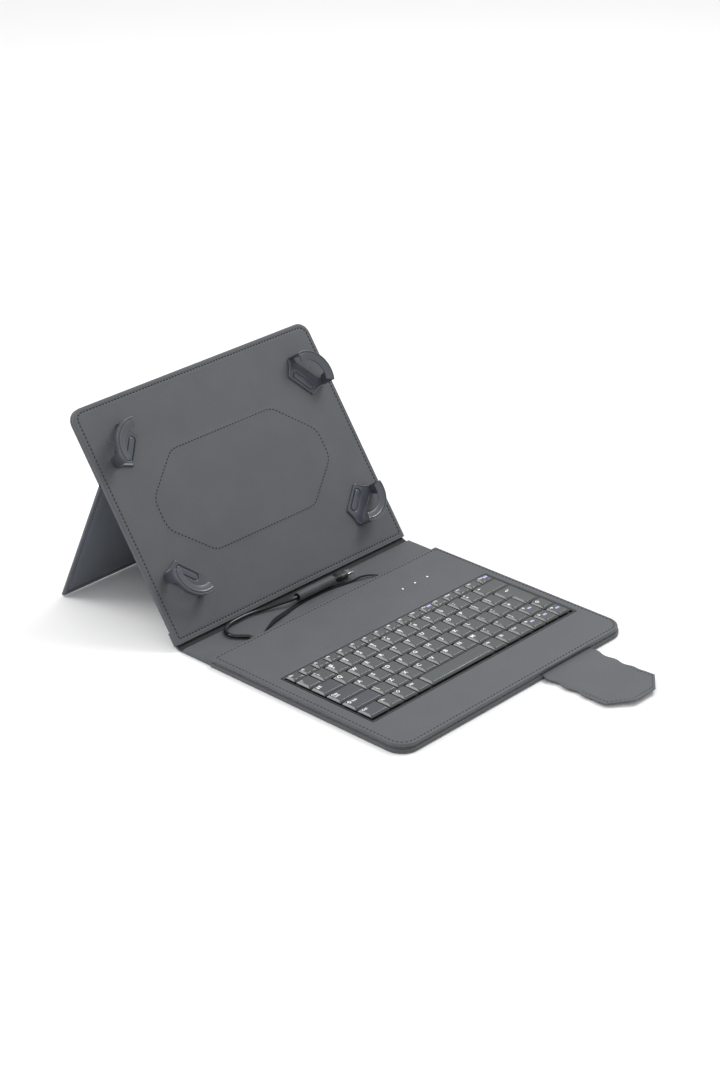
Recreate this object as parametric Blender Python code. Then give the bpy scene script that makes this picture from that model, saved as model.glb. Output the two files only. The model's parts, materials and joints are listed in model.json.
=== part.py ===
"""Tablet keyboard case: a leatherette folio that holds a tablet over a small wired keyboard.

The case is open and standing. The keyboard half lies flat, the spine lies behind it, and the holder
leans back on its stand. +X is the user's right, +Y points away from the user and +Z is up.
"""
import math

import bmesh
import bpy
from mathutils import Vector

# ---- Driving dimensions, in metres ------------------------------------------------------------
GAP = 0.0003                     # clearance between pieces that touch
SHEET_GAP = 0.0002               # clearance between thin sheets
CUT = 0.001                      # cutters reach this far past the faces that they open

CASE_WIDTH = 0.265
KEYBOARD_DEPTH = 0.2036          # front edge of the keyboard half to the fold of the spine
SPINE_DEPTH = 0.0328             # fold to fold
HOLDER_HEIGHT = 0.203            # along the holder's own slope
HOLDER_ANGLE = math.radians(54.8)    # slope of the holder above the table
FOLD_HEIGHT = 0.0043             # both folds of the spine lie just above its top face
FRONT_CORNER = 0.016             # corner radius of the keyboard half
HOLDER_CORNER = 0.011            # radius of the holder's upper corners
ARC_STEPS = 7

BASE_TOP = 0.0040                # rim of the lower layer
BASE_SKIN = 0.0010
BASE_RIM = 0.0014
TRAY_TOP = 0.0076                # leather face around the keys
TRAY_SKIN = 0.0010
TRAY_RIM = 0.0014
TRAY_INSET = 0.0008              # the tray is this much smaller than the base all round
TRAY_BOTTOM = BASE_TOP + GAP
TRAY_CEILING = TRAY_TOP - TRAY_SKIN
SPINE_CEILING = 0.0032           # roof of the pocket in the spine
SPINE_INSET = 0.0015             # the spine strip is this much shorter than the case at each end

OPENING_X = (-0.1180, 0.1225)    # window for the keyboard module in the tray
OPENING_Y = (-0.1605, -0.0642)   # measured from the fold
BEZEL_WALL = 0.0016
BEZEL_TOP = 0.0073
PLATE_THICKNESS = 0.0004
FILM_THICKNESS = 0.0002          # the printed circuit sheet and the sheet under the rubber domes
DOME_HALF_WIDTH = 0.2            # in key units
DOME_MARGIN = (0.0016, 0.0034)   # front and rear of a dome inside its key, in row 0 and in the others
DOME_TAPER = (0.0006, 0.0006, 0.0006)    # slope of a dome's sides, front and rear
CONTROLLER_X = (-0.1095, -0.0505)
CONTROLLER_Y = (-0.0445, -0.0205)        # measured from the fold
CONTROLLER_THICKNESS = 0.0010

KEY_UNIT = 0.0158                # pitch of the letter keys across a row
KEY_ROW = 0.01595                # pitch of the rows
FUNCTION_ROW = 0.0108            # the last row is shallower
KEYS_LEFT = -0.1153
KEYS_REAR = -0.0662              # measured from the fold
ROW_UNITS = 14.9                 # width of every row in key units
ROW_LAYOUTS = (                  # widths of the keys of each row in key units, rear row first
    [ROW_UNITS / 17] * 17,
    [1.0] * 13 + [1.9],
    [1.5] + [1.0] * 12 + [1.4],
    [1.85] + [1.0] * 12 + [1.05],
    [2.0] + [1.0] * 12 + [0.9],
    [1.35] + [1.0] * 3 + [4.65] + [1.0] * 5 + [0.9],
)
KEY_SIDE_GAP = 0.0005            # half of the gap between two caps
KEY_BOTTOM = 0.0072
KEY_WEB_TOP = 0.0075
KEY_TOP = 0.0090
KEY_TAPER = (0.0009, 0.0009, 0.0004)     # slope of a cap's sides, front and rear
KEY_TRAVEL = 0.0014

LIGHT_X = (0.0555, 0.0705, 0.0855)
LIGHT_Y = -0.0334
LIGHT_RADIUS = 0.0011
LIGHT_BAR_MARGIN = 0.0035        # the bar reaches this far past its outer lights
LIGHT_BAR_HALF = 0.0025

LEAD_DIAMETER = 0.0032
LEAD_EXIT_X = -0.0845
GROMMET_HALF_WIDTH = 0.0040
GROMMET_DEPTH = 0.0057
SLEEVE_X = (-0.0155, 0.0262)
SLEEVE_RADIUS = 0.0040
SLEEVE_BORE = 0.0031
SLEEVE_CENTRE = (0.0173, 0.0094)         # distance behind the fold, height
PLUG_GRIP_LENGTH = 0.0139
PLUG_GRIP_HALF = (0.0046, 0.0030)        # half width and half height
PLUG_SHELL_LENGTH = 0.0069
PLUG_SHELL_HALF = (0.0036, 0.0013)
PLUG_SHELL_WALL = 0.0005
STRAP_THICKNESS = 0.0007

CLIP_TRAVEL = 0.015
CLIP_PAD = 0.0016                # height of a clip's pad over the lining
CLIP_LIP = (0.0142, 0.0158)      # underside and top of the lip over the lining
CLIP_ARC_CENTRE = -0.0060        # centre of the corner's arc, out from the middle of the pad
CLIP_ARC = 0.0233                # outer radius of the corner
CLIP_HALF_ANGLE = math.radians(61)
CLIP_WALL = 0.0018
CLIP_LIP_WIDTH = 0.0080
CLIP_FLANGE = 0.0012             # height of the wall's foot over the lining
CLIP_FLANGE_WIDTH = 0.0030
CLIP_WINDOW = (0.0082, 0.0190, 0.0135, 0.0110)   # opening under the hook: from, to, half width, height
CLIP_PAD_OUTLINE = (             # half of the pad, out along the clip's direction and across it
    (-0.0100, 0.0135), (-0.0020, 0.0160), (0.0030, 0.0190), (0.0056, 0.0187), (0.0078, 0.0165),
)
STEM_HALF = (0.0016, 0.0024)     # half length along the clip's direction, half width across it
STEM_DEPTH = 0.0015              # how far the stem reaches below the lining's face
SLOT_HALF_WIDTH = 0.0030
SLOT_MARGIN = 0.0020             # length of the slot past the stem's middle at both ends
CLIPS = {                        # place of the pad on the holder, and where the clip's corner points
    "top_left": (-0.0973, 0.1608, 142.0),
    "top_right": (0.1047, 0.1590, 38.0),
    "bottom_left": (-0.0981, 0.0470, 226.0),
    "bottom_right": (0.1014, 0.0434, 313.0),
}

LINING_SKIN = 0.0008             # layers of the holder, from the tablet side to the back
LINING_DEPTH = 0.0019
BOARD_BACK = 0.0033
HOLDER_BACK = 0.0061
HOLDER_RIM = 0.0014              # width of the lining's turned edge
PANEL_X = (-0.0930, 0.0930)      # octagonal panel that the tablet's back lies on
PANEL_Y = (0.0570, 0.1455)
PANEL_CUT = (0.0360, 0.0310)     # its cut corners, across and up the holder
PANEL_RISE = 0.0002
HOLDER_FOOT = 0.0005             # the holder's layers start this far up from its fold
BACK_FACE = BOARD_BACK + SHEET_GAP       # depth where the back covers start
BACK_LINING = 0.0006
STRIKE_Y = (0.1800, 0.1960)      # strike plate for the tab's magnet, up the holder
STRIKE_DEPTH = 0.0008
ELASTIC_THICKNESS = 0.0004
ELASTIC_HALF_WIDTH = 0.0030
ELASTIC_START = 0.0034           # each band starts this far from its stem's middle
ELASTIC_ANCHOR = (0.026, 0.012)  # far end of each band, from the point that the bands run to
ELASTIC_CENTRE_Y = 0.1015
TAIL_HEIGHT = 0.0132             # strip of the outer cover that climbs up from the spine
STAND_HINGE = 0.1410             # height of the stand's hinge along the holder
STAND_OPEN = math.radians(59.9)      # from folded flat to standing
STAND_BOARD = 0.0010
STAND_COVER = 0.0006
STAND_CORNER = 0.0020
STAND_RELIEF = 0.0008            # the stand's layers start this far from its hinge

TAB_X = (0.0262, 0.0882)
TAB_FIRST_CREASE = 0.0008        # in front of the keyboard half's edge
TAB_SECOND_CREASE = 0.0330
TAB_REACH = 0.0764
TAB_ROOT_DEPTH = 0.0110
TAB_ROOT_BOTTOM = 0.0028
TAB_THICKNESS = 0.0022
TAB_NECK = 0.0018                # the tab narrows by this much on both sides at its creases
TAB_CORNER = 0.0150              # length of the cut corners at its tip
TAB_SHOULDER = 0.0060            # from the second crease to the full width
TAB_LINING = 0.0005
TAB_MAGNET_MARGIN = 0.0160       # from the tab's sides
TAB_MAGNET_PLACE = (0.0100, 0.0240)      # from the tip
TAB_MAGNET_Z = (0.0008, 0.0014)

# ---- Places that follow from them -------------------------------------------------------------
STAND_SLOPE = math.pi - HOLDER_ANGLE - STAND_OPEN
STAND_THICKNESS = STAND_COVER + SHEET_GAP + STAND_BOARD
STAND_TOP = FOLD_HEIGHT + STAND_HINGE * math.sin(HOLDER_ANGLE) - HOLDER_BACK * math.cos(HOLDER_ANGLE)
STAND_LENGTH = (STAND_TOP - STAND_THICKNESS * math.cos(STAND_SLOPE)) / math.sin(STAND_SLOPE)
STAND_REACH = (SPINE_DEPTH + STAND_HINGE * math.cos(HOLDER_ANGLE) + HOLDER_BACK * math.sin(HOLDER_ANGLE)
               + STAND_LENGTH * math.cos(STAND_SLOPE))       # fold of the spine to the stand's foot
FOLD_Y = (KEYBOARD_DEPTH + TAB_REACH - STAND_REACH) / 2      # centres the whole case on the origin
HOLDER_Y = FOLD_Y + SPINE_DEPTH
HALF_WIDTH = CASE_WIDTH / 2

COLOURS = {                      # base colour, roughness, metallic
    "leatherette": ((0.125, 0.130, 0.137), 0.62, 0.0),
    "leatherette_dark": ((0.060, 0.066, 0.078), 0.58, 0.0),
    "board": ((0.42, 0.38, 0.31), 0.9, 0.0),
    "black_plastic": ((0.014, 0.014, 0.016), 0.45, 0.0),
    "key_plastic": ((0.085, 0.092, 0.088), 0.42, 0.0),
    "steel": ((0.56, 0.57, 0.58), 0.32, 1.0),
    "membrane": ((0.25, 0.28, 0.26), 0.35, 0.0),
    "dome_rubber": ((0.030, 0.031, 0.034), 0.7, 0.0),
    "circuit_board": ((0.03, 0.17, 0.08), 0.5, 0.0),
    "clear_lens": ((0.90, 0.92, 0.92), 0.2, 0.0),
    "clip_plastic": ((0.120, 0.130, 0.155), 0.24, 0.0),
    "elastic": ((0.020, 0.020, 0.022), 0.85, 0.0),
    "cable_jacket": ((0.012, 0.012, 0.013), 0.28, 0.0),
    "plug_insulator": ((0.02, 0.02, 0.02), 0.5, 0.0),
    "magnet": ((0.50, 0.50, 0.52), 0.3, 1.0),
}


# ---- Scene and material helpers ---------------------------------------------------------------
def clear_scene():
    """Remove every object, so that the script also works in a scene that isn't empty."""
    for obj in list(bpy.data.objects):
        bpy.data.objects.remove(obj, do_unlink=True)


def make_material(node, finish):
    """Give a node its own Principled material in one of the case's finishes."""
    colour, roughness, metallic = COLOURS[finish]
    material = bpy.data.materials.new(node)
    material.use_nodes = True
    shader = material.node_tree.nodes["Principled BSDF"]
    shader.inputs["Base Color"].default_value = (*colour, 1.0)
    shader.inputs["Roughness"].default_value = roughness
    shader.inputs["Metallic"].default_value = metallic
    material.diffuse_color = (*colour, 1.0)
    return material


def add_piece(name, bm, finish, parent=None, smooth=False):
    """Turn a bmesh into a named object with its own material."""
    bmesh.ops.recalc_face_normals(bm, faces=bm.faces)
    mesh = bpy.data.meshes.new(name)
    bm.to_mesh(mesh)
    bm.free()
    if smooth:
        mesh.shade_smooth()
        mesh.set_sharp_from_angle(angle=math.radians(35))
    obj = bpy.data.objects.new(name, mesh)
    bpy.context.scene.collection.objects.link(obj)
    mesh.materials.append(make_material(name, finish))
    obj.parent = parent
    return obj


def add_pivot(name, location, rotation=(0.0, 0.0, 0.0), parent=None):
    """Add an empty on a joint's axis, or at the origin of a sub-assembly."""
    pivot = bpy.data.objects.new(name, None)
    bpy.context.scene.collection.objects.link(pivot)
    pivot.location = location
    pivot.rotation_euler = rotation
    pivot.parent = parent
    return pivot


def add_boolean(target, bm, operation="DIFFERENCE"):
    """Cut a shape from a piece, or join one to it, with a hidden helper object."""
    helper = add_piece(f"{target.name}_{operation.lower()}_{len(target.modifiers)}", bm,
                       "black_plastic", target.parent)
    helper.location = target.location
    helper.rotation_euler = target.rotation_euler
    helper.hide_render = True
    helper.display_type = "WIRE"
    modifier = target.modifiers.new(helper.name, "BOOLEAN")
    modifier.operation = operation
    modifier.solver = "EXACT"
    modifier.object = helper


# ---- Shape helpers ----------------------------------------------------------------------------
def rounded_outline(x_span, y_span, radii):
    """Rectangle outline, counter-clockwise, with a radius for each corner.

    The radii are those of the front left, front right, rear right and rear left corners.
    """
    (x0, x1), (y0, y1) = x_span, y_span
    corners = ((x0, y0, 1, 1, 180), (x1, y0, -1, 1, 270), (x1, y1, -1, -1, 0), (x0, y1, 1, -1, 90))
    points = []
    for (x, y, x_sign, y_sign, start), radius in zip(corners, radii):
        if radius == 0:
            points.append((x, y))
            continue
        for step in range(ARC_STEPS + 1):
            angle = math.radians(start + 90 * step / ARC_STEPS)
            points.append((x + radius * (x_sign + math.cos(angle)), y + radius * (y_sign + math.sin(angle))))
    return points


def prism(outline, z0, z1, bm=None):
    """Extrude an outline from z0 up to z1."""
    bm = bm or bmesh.new()
    base = bm.faces.new([bm.verts.new((x, y, z0)) for x, y in outline])
    top = bmesh.ops.extrude_face_region(bm, geom=[base])["geom"]
    bmesh.ops.translate(bm, verts=[v for v in top if isinstance(v, bmesh.types.BMVert)],
                        vec=(0, 0, z1 - z0))
    return bm


def box(x_span, y_span, z_span, bm=None):
    """Plain box between three spans."""
    return prism(rounded_outline(x_span, y_span, (0, 0, 0, 0)), *z_span, bm)


def side_prism(profile, x_span, bm=None):
    """Extrude a profile of (y, z) points along X."""
    bm = bm or bmesh.new()
    base = bm.faces.new([bm.verts.new((x_span[0], y, z)) for y, z in profile])
    far = bmesh.ops.extrude_face_region(bm, geom=[base])["geom"]
    bmesh.ops.translate(bm, verts=[v for v in far if isinstance(v, bmesh.types.BMVert)],
                        vec=(x_span[1] - x_span[0], 0, 0))
    return bm


def cylinder(centre, radius, z_span, sides=16):
    """Upright round bar."""
    outline = [(centre[0] + radius * math.cos(math.tau * k / sides),
                centre[1] + radius * math.sin(math.tau * k / sides)) for k in range(sides)]
    return prism(outline, *z_span)


def shrink(span, amount):
    """Span that is shorter by the same amount at both ends."""
    return span[0] + amount, span[1] - amount


def smooth_points(route, per_span):
    """Points of a Catmull-Rom curve through a route."""
    ends = [route[0] + (route[0] - route[1])] + route + [route[-1] + (route[-1] - route[-2])]
    points = []
    for a, b, c, d in zip(ends, ends[1:], ends[2:], ends[3:]):
        for step in range(per_span):
            t = step / per_span
            points.append(0.5 * (2 * b + (c - a) * t + (2 * a - 5 * b + 4 * c - d) * t ** 2
                                 + (3 * b - a - 3 * c + d) * t ** 3))
    return points + [route[-1]]


# ---- Keyboard half ----------------------------------------------------------------------------
def half_outline(inset):
    """Outline of the keyboard half, drawn in by an inset, with square corners at the fold."""
    radius = FRONT_CORNER - inset
    return rounded_outline(shrink((-HALF_WIDTH, HALF_WIDTH), inset),
                           (FOLD_Y - KEYBOARD_DEPTH + inset, FOLD_Y - GAP - inset), (radius, radius, 0, 0))


def tab_notch(top):
    """Room for the root of the closure tab in the front edge of the base."""
    front = FOLD_Y - KEYBOARD_DEPTH
    return box(shrink(TAB_X, -GAP), (front - CUT, front + TAB_ROOT_DEPTH + GAP), (TAB_ROOT_BOTTOM - GAP, top))


def build_base():
    """Lower layer: a leather pan that wraps a stiff board, notched for the closure tab."""
    cover = add_piece("base_cover", prism(half_outline(0.0), 0.0, BASE_TOP), "leatherette")
    add_boolean(cover, prism(half_outline(BASE_RIM), BASE_SKIN, BASE_TOP + CUT))
    add_boolean(cover, tab_notch(BASE_TOP + CUT))
    board = add_piece("base_board", prism(half_outline(BASE_RIM + GAP), BASE_SKIN + GAP, BASE_TOP - GAP),
                      "board")
    add_boolean(board, tab_notch(BASE_TOP))
    front = FOLD_Y - KEYBOARD_DEPTH
    root = box(TAB_X, (front + GAP, front + TAB_ROOT_DEPTH), (TAB_ROOT_BOTTOM, BASE_TOP))
    add_piece("tab_root", root, "leatherette")


def opening_box(grow, z_span):
    """Block over the keyboard window, larger than it by grow all round."""
    return box(shrink(OPENING_X, -grow), (FOLD_Y + OPENING_Y[0] - grow, FOLD_Y + OPENING_Y[1] + grow), z_span)


def build_tray():
    """Upper layer: a leather frame with a rim over a stiff board, open for the keyboard module."""
    cover = add_piece("tray_cover", prism(half_outline(TRAY_INSET), TRAY_BOTTOM, TRAY_TOP), "leatherette")
    add_boolean(cover, prism(half_outline(TRAY_INSET + TRAY_RIM), TRAY_BOTTOM - CUT, TRAY_CEILING))
    add_boolean(cover, opening_box(0.0, (TRAY_BOTTOM - CUT, TRAY_TOP + CUT)))
    frame = add_piece("tray_frame", prism(half_outline(TRAY_INSET + TRAY_RIM + GAP), TRAY_BOTTOM + GAP,
                                          TRAY_CEILING - GAP), "board")
    add_boolean(frame, opening_box(CUT, (TRAY_BOTTOM, TRAY_TOP)))
    build_grommet(cover, frame)
    build_controller(frame)
    build_lights(cover, frame)


def build_grommet(cover, frame):
    """Grommet that the lead leaves through, in a gap in the rear edge of the tray."""
    x_span = (LEAD_EXIT_X - GROMMET_HALF_WIDTH, LEAD_EXIT_X + GROMMET_HALF_WIDTH)
    y_span = (FOLD_Y - GROMMET_DEPTH, FOLD_Y)
    room_x, room_y = shrink(x_span, -GAP), (y_span[0] - GAP, y_span[1] + CUT)
    add_boolean(cover, box(room_x, room_y, (TRAY_BOTTOM - CUT, TRAY_CEILING + SHEET_GAP)))
    add_boolean(frame, box(room_x, room_y, (TRAY_BOTTOM, TRAY_TOP)))
    add_piece("lead_grommet", box(x_span, y_span, (TRAY_BOTTOM + GAP, TRAY_CEILING - GAP / 2)), "black_plastic")


def build_controller(frame):
    """Circuit board of the keyboard, in a pocket in the tray's board."""
    y_span = (FOLD_Y + CONTROLLER_Y[0], FOLD_Y + CONTROLLER_Y[1])
    add_boolean(frame, box(shrink(CONTROLLER_X, -GAP), shrink(y_span, -GAP), (TRAY_BOTTOM, TRAY_TOP)))
    bottom = TRAY_BOTTOM + GAP
    board = box(CONTROLLER_X, y_span, (bottom, bottom + CONTROLLER_THICKNESS))
    add_piece("controller_board", board, "circuit_board")


def build_lights(cover, frame):
    """Clear bar with three round studs that carry the indicator lights up through the leather."""
    middle = FOLD_Y + LIGHT_Y
    x_span = (LIGHT_X[0] - LIGHT_BAR_MARGIN, LIGHT_X[-1] + LIGHT_BAR_MARGIN)
    y_span = (middle - LIGHT_BAR_HALF, middle + LIGHT_BAR_HALF)
    add_boolean(frame, box(shrink(x_span, -GAP), shrink(y_span, -GAP), (TRAY_BOTTOM, TRAY_TOP)))
    pipe = add_piece("indicator_light_pipe", box(x_span, y_span, (TRAY_BOTTOM + GAP, TRAY_CEILING - GAP)),
                     "clear_lens")
    for x in LIGHT_X:
        add_boolean(pipe, cylinder((x, middle), LIGHT_RADIUS, (TRAY_CEILING - CUT, TRAY_TOP + GAP)), "UNION")
        add_boolean(cover, cylinder((x, middle), LIGHT_RADIUS + GAP, (TRAY_BOTTOM, TRAY_TOP + CUT)))


def build_keyboard_module():
    """Bezel, steel back plate, printed circuit sheet and rubber dome sheet."""
    plate_top = BASE_TOP + PLATE_THICKNESS
    circuit_bottom = plate_top + SHEET_GAP
    dome_bottom = circuit_bottom + FILM_THICKNESS + SHEET_GAP
    dome_top = dome_bottom + FILM_THICKNESS
    inner = -(GAP + BEZEL_WALL + GAP)
    add_piece("keyboard_back_plate", opening_box(-GAP, (BASE_TOP, plate_top)), "steel")
    circuit = opening_box(inner, (circuit_bottom, circuit_bottom + FILM_THICKNESS))
    add_piece("membrane_circuit", circuit, "membrane")
    bezel = add_piece("keyboard_bezel", opening_box(-GAP, (circuit_bottom, BEZEL_TOP)), "black_plastic")
    add_boolean(bezel, opening_box(-GAP - BEZEL_WALL, (BASE_TOP, BEZEL_TOP + CUT)))

    sheet = add_piece("dome_sheet", opening_box(inner, (dome_bottom, dome_top)), "dome_rubber")
    domes = bmesh.new()
    for row in range(len(ROW_LAYOUTS)):
        for left, width in row_cells(row):
            middle = left + width / 2
            foot = key_outline(middle - DOME_HALF_WIDTH, 2 * DOME_HALF_WIDTH, row, DOME_MARGIN[row > 0])
            add_cap(domes, foot, dome_top - SHEET_GAP / 2, KEY_BOTTOM - KEY_TRAVEL - SHEET_GAP / 2, DOME_TAPER)
    add_boolean(sheet, domes, "UNION")


# ---- Keys -------------------------------------------------------------------------------------
def row_cells(row):
    """Left edge and width of every key of a row, in key units. Row 0 is the function row."""
    cells, left = [], 0.0
    for width in ROW_LAYOUTS[row]:
        cells.append((left, width))
        left += width
    return cells


def row_span(row):
    """Front and rear of a row of keys."""
    rear = FOLD_Y + KEYS_REAR
    if row == 0:
        return rear - FUNCTION_ROW, rear
    rear -= FUNCTION_ROW + (row - 1) * KEY_ROW
    return rear - KEY_ROW, rear


def key_outline(left, width, row, front_back_inset=0.0):
    """Foot of one cap, counter-clockwise from its front left corner."""
    x0 = KEYS_LEFT + left * KEY_UNIT + KEY_SIDE_GAP
    x1 = KEYS_LEFT + (left + width) * KEY_UNIT - KEY_SIDE_GAP
    y0, y1 = row_span(row)
    margin = KEY_SIDE_GAP + front_back_inset
    return [(x0, y0 + margin), (x1, y0 + margin), (x1, y1 - margin), (x0, y1 - margin)]


def add_cap(bm, outline, z0, z1, taper=KEY_TAPER):
    """Cap with four sloping sides on a rectangular outline."""
    side, front, rear = taper
    (x0, y0), (x1, y1) = outline[0], outline[2]
    top = [(x0 + side, y0 + front), (x1 - side, y0 + front), (x1 - side, y1 - rear), (x0 + side, y1 - rear)]
    loft(bm, outline, top, z0, z1)


def loft(bm, lower, upper, z0, z1):
    """Closed body between a lower and an upper outline with the same number of corners."""
    low = [bm.verts.new((x, y, z0)) for x, y in lower]
    high = [bm.verts.new((x, y, z1)) for x, y in upper]
    bm.faces.new(list(reversed(low)))
    bm.faces.new(high)
    for k, vertex in enumerate(low):
        after = (k + 1) % len(low)
        bm.faces.new((vertex, low[after], high[after], high[k]))


def single_key(name, row, index):
    """One key cap in a node of its own."""
    bm = bmesh.new()
    add_cap(bm, key_outline(*row_cells(row)[index], row), KEY_BOTTOM, KEY_TOP)
    add_piece(name, bm, "key_plastic")


def key_block(name, row, first, last):
    """Neighbouring caps of one row, joined by a thin web at their feet."""
    cells = row_cells(row)[first:last + 1]
    bm = bmesh.new()
    front, rear = key_outline(*cells[0], row)[0][1], key_outline(*cells[0], row)[2][1]
    lines = []
    for left, width in cells:
        outline = key_outline(left, width, row)
        lines += [outline[0][0], outline[1][0]]
    rails = [[bm.verts.new((x, y, z)) for x in lines]
             for y, z in ((front, KEY_BOTTOM), (front, KEY_WEB_TOP), (rear, KEY_WEB_TOP), (rear, KEY_BOTTOM))]
    tops = []
    for k in range(len(lines) - 1):
        for rail, after in zip(rails, rails[1:] + rails[:1]):
            face = bm.faces.new((rail[k], rail[k + 1], after[k + 1], after[k]))
            if rail is rails[1] and k % 2 == 0:
                tops.append(face)
    for end in (0, -1):
        bm.faces.new([rail[end] for rail in rails])
    bmesh.ops.recalc_face_normals(bm, faces=bm.faces)
    side, front_slope, rear_slope = KEY_TAPER
    for top in bmesh.ops.extrude_discrete_faces(bm, faces=tops)["faces"]:
        centre = top.calc_center_median()
        for vertex in top.verts:
            vertex.co.x += side if vertex.co.x < centre.x else -side
            vertex.co.y += front_slope if vertex.co.y < centre.y else -rear_slope
            vertex.co.z = KEY_TOP
    add_piece(name, bm, "key_plastic")


def enter_key():
    """Enter key: an L that fills the ends of the upper and the middle letter row."""
    upper, lower = row_cells(2)[13], row_cells(3)[13]
    x_upper = KEYS_LEFT + upper[0] * KEY_UNIT + KEY_SIDE_GAP
    x_lower = KEYS_LEFT + lower[0] * KEY_UNIT + KEY_SIDE_GAP
    x_right = KEYS_LEFT + ROW_UNITS * KEY_UNIT - KEY_SIDE_GAP
    y_front = row_span(3)[0] + KEY_SIDE_GAP
    y_step = row_span(2)[0] + KEY_SIDE_GAP
    y_rear = row_span(2)[1] - KEY_SIDE_GAP
    side, front, rear = KEY_TAPER
    foot = [(x_lower, y_front), (x_right, y_front), (x_right, y_rear), (x_upper, y_rear),
            (x_upper, y_step), (x_lower, y_step)]
    top = [(x_lower + side, y_front + front), (x_right - side, y_front + front),
           (x_right - side, y_rear - rear), (x_upper + side, y_rear - rear),
           (x_upper + side, y_step + front), (x_lower + side, y_step + front)]
    bm = bmesh.new()
    loft(bm, foot, top, KEY_BOTTOM, KEY_TOP)
    add_piece("enter_key", bm, "key_plastic")


def build_keys():
    """All the keys. Named keys stand alone, and runs of equal keys share a node."""
    single_key("escape_key", 0, 0)
    key_block("function_keys", 0, 1, 16)
    key_block("number_keys", 1, 0, 12)
    single_key("backspace_key", 1, 13)
    single_key("tab_key", 2, 0)
    key_block("letter_keys_upper", 2, 1, 12)
    enter_key()
    single_key("caps_lock_key", 3, 0)
    key_block("letter_keys_middle", 3, 1, 12)
    single_key("left_shift_key", 4, 0)
    key_block("letter_keys_lower", 4, 1, 11)
    single_key("up_arrow_key", 4, 12)
    single_key("right_shift_key", 4, 13)
    single_key("control_key", 5, 0)
    key_block("modifier_keys", 5, 1, 3)
    single_key("space_bar", 5, 4)
    key_block("menu_keys", 5, 5, 7)
    single_key("left_arrow_key", 5, 8)
    single_key("down_arrow_key", 5, 9)
    single_key("right_arrow_key", 5, 10)


# ---- Spine, lead and plug ---------------------------------------------------------------------
def build_spine():
    """Spine strip: a leather pan with a stiff board in it, level with the lower layer."""
    x_span = shrink((-HALF_WIDTH, HALF_WIDTH), SPINE_INSET)
    y_span = (FOLD_Y + GAP, HOLDER_Y - GAP)
    cover = add_piece("spine_cover", box(x_span, y_span, (0.0, BASE_TOP)), "leatherette")
    inner_x, inner_y = shrink(x_span, BASE_RIM), shrink(y_span, BASE_RIM)
    add_boolean(cover, box(inner_x, inner_y, (BASE_SKIN, SPINE_CEILING)))
    open_end = (inner_x[1] - CUT, x_span[1] + CUT)
    add_boolean(cover, box(open_end, inner_y, (BASE_SKIN, SPINE_CEILING)))
    board = box(shrink(inner_x, GAP), shrink(inner_y, GAP), (BASE_SKIN + GAP, SPINE_CEILING - GAP))
    add_piece("spine_board", board, "board")


def lead_route():
    """Points along the lead, from the grommet round its loop and into the sleeve."""
    rest = BASE_TOP + GAP + LEAD_DIAMETER / 2
    y_sleeve, z_sleeve = SLEEVE_CENTRE
    places = [
        (LEAD_EXIT_X, 0.0003, rest), (LEAD_EXIT_X, 0.0016, rest), (-0.0856, 0.0042, rest),
        (-0.0882, 0.0070, rest), (-0.0912, 0.0101, rest), (-0.0932, 0.0142, rest),
        (-0.0930, 0.0190, rest), (-0.0904, 0.0237, rest), (-0.0852, 0.0273, rest),
        (-0.0775, 0.0294, rest), (-0.0690, 0.0301, rest), (-0.0600, 0.0298, rest),
        (-0.0510, 0.0281, rest + 0.0002), (-0.0420, 0.0254, rest + 0.0008),
        (-0.0330, 0.0222, rest + 0.0020), (-0.0245, 0.0190, z_sleeve - 0.0006),
        (-0.0170, y_sleeve, z_sleeve), (-0.0080, y_sleeve, z_sleeve), (0.0080, y_sleeve, z_sleeve),
        (SLEEVE_X[1] + 0.0003, y_sleeve, z_sleeve),
    ]
    return [Vector((x, FOLD_Y + y, z)) for x, y, z in places]


def build_lead():
    """Lead, the leather sleeve that keeps it on the spine, the plug, and the elastic strap."""
    points = smooth_points(lead_route(), 3)
    curve = bpy.data.curves.new("usb_lead", "CURVE")
    curve.dimensions = "3D"
    curve.bevel_depth = LEAD_DIAMETER / 2
    curve.bevel_resolution = 2
    curve.use_fill_caps = True
    spline = curve.splines.new("POLY")
    spline.points.add(len(points) - 1)
    for spline_point, place in zip(spline.points, points):
        spline_point.co = (*place, 1.0)
    lead = bpy.data.objects.new("usb_lead", curve)
    bpy.context.scene.collection.objects.link(lead)
    curve.materials.append(make_material("usb_lead", "cable_jacket"))

    y_sleeve, z_sleeve = FOLD_Y + SLEEVE_CENTRE[0], SLEEVE_CENTRE[1]
    add_piece("lead_sleeve", tube_along_x(SLEEVE_X, (y_sleeve, z_sleeve), SLEEVE_RADIUS, SLEEVE_BORE),
              "leatherette", smooth=True)

    build_plug(SLEEVE_X[1] + 2 * GAP, y_sleeve, z_sleeve)
    build_strap()


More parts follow.
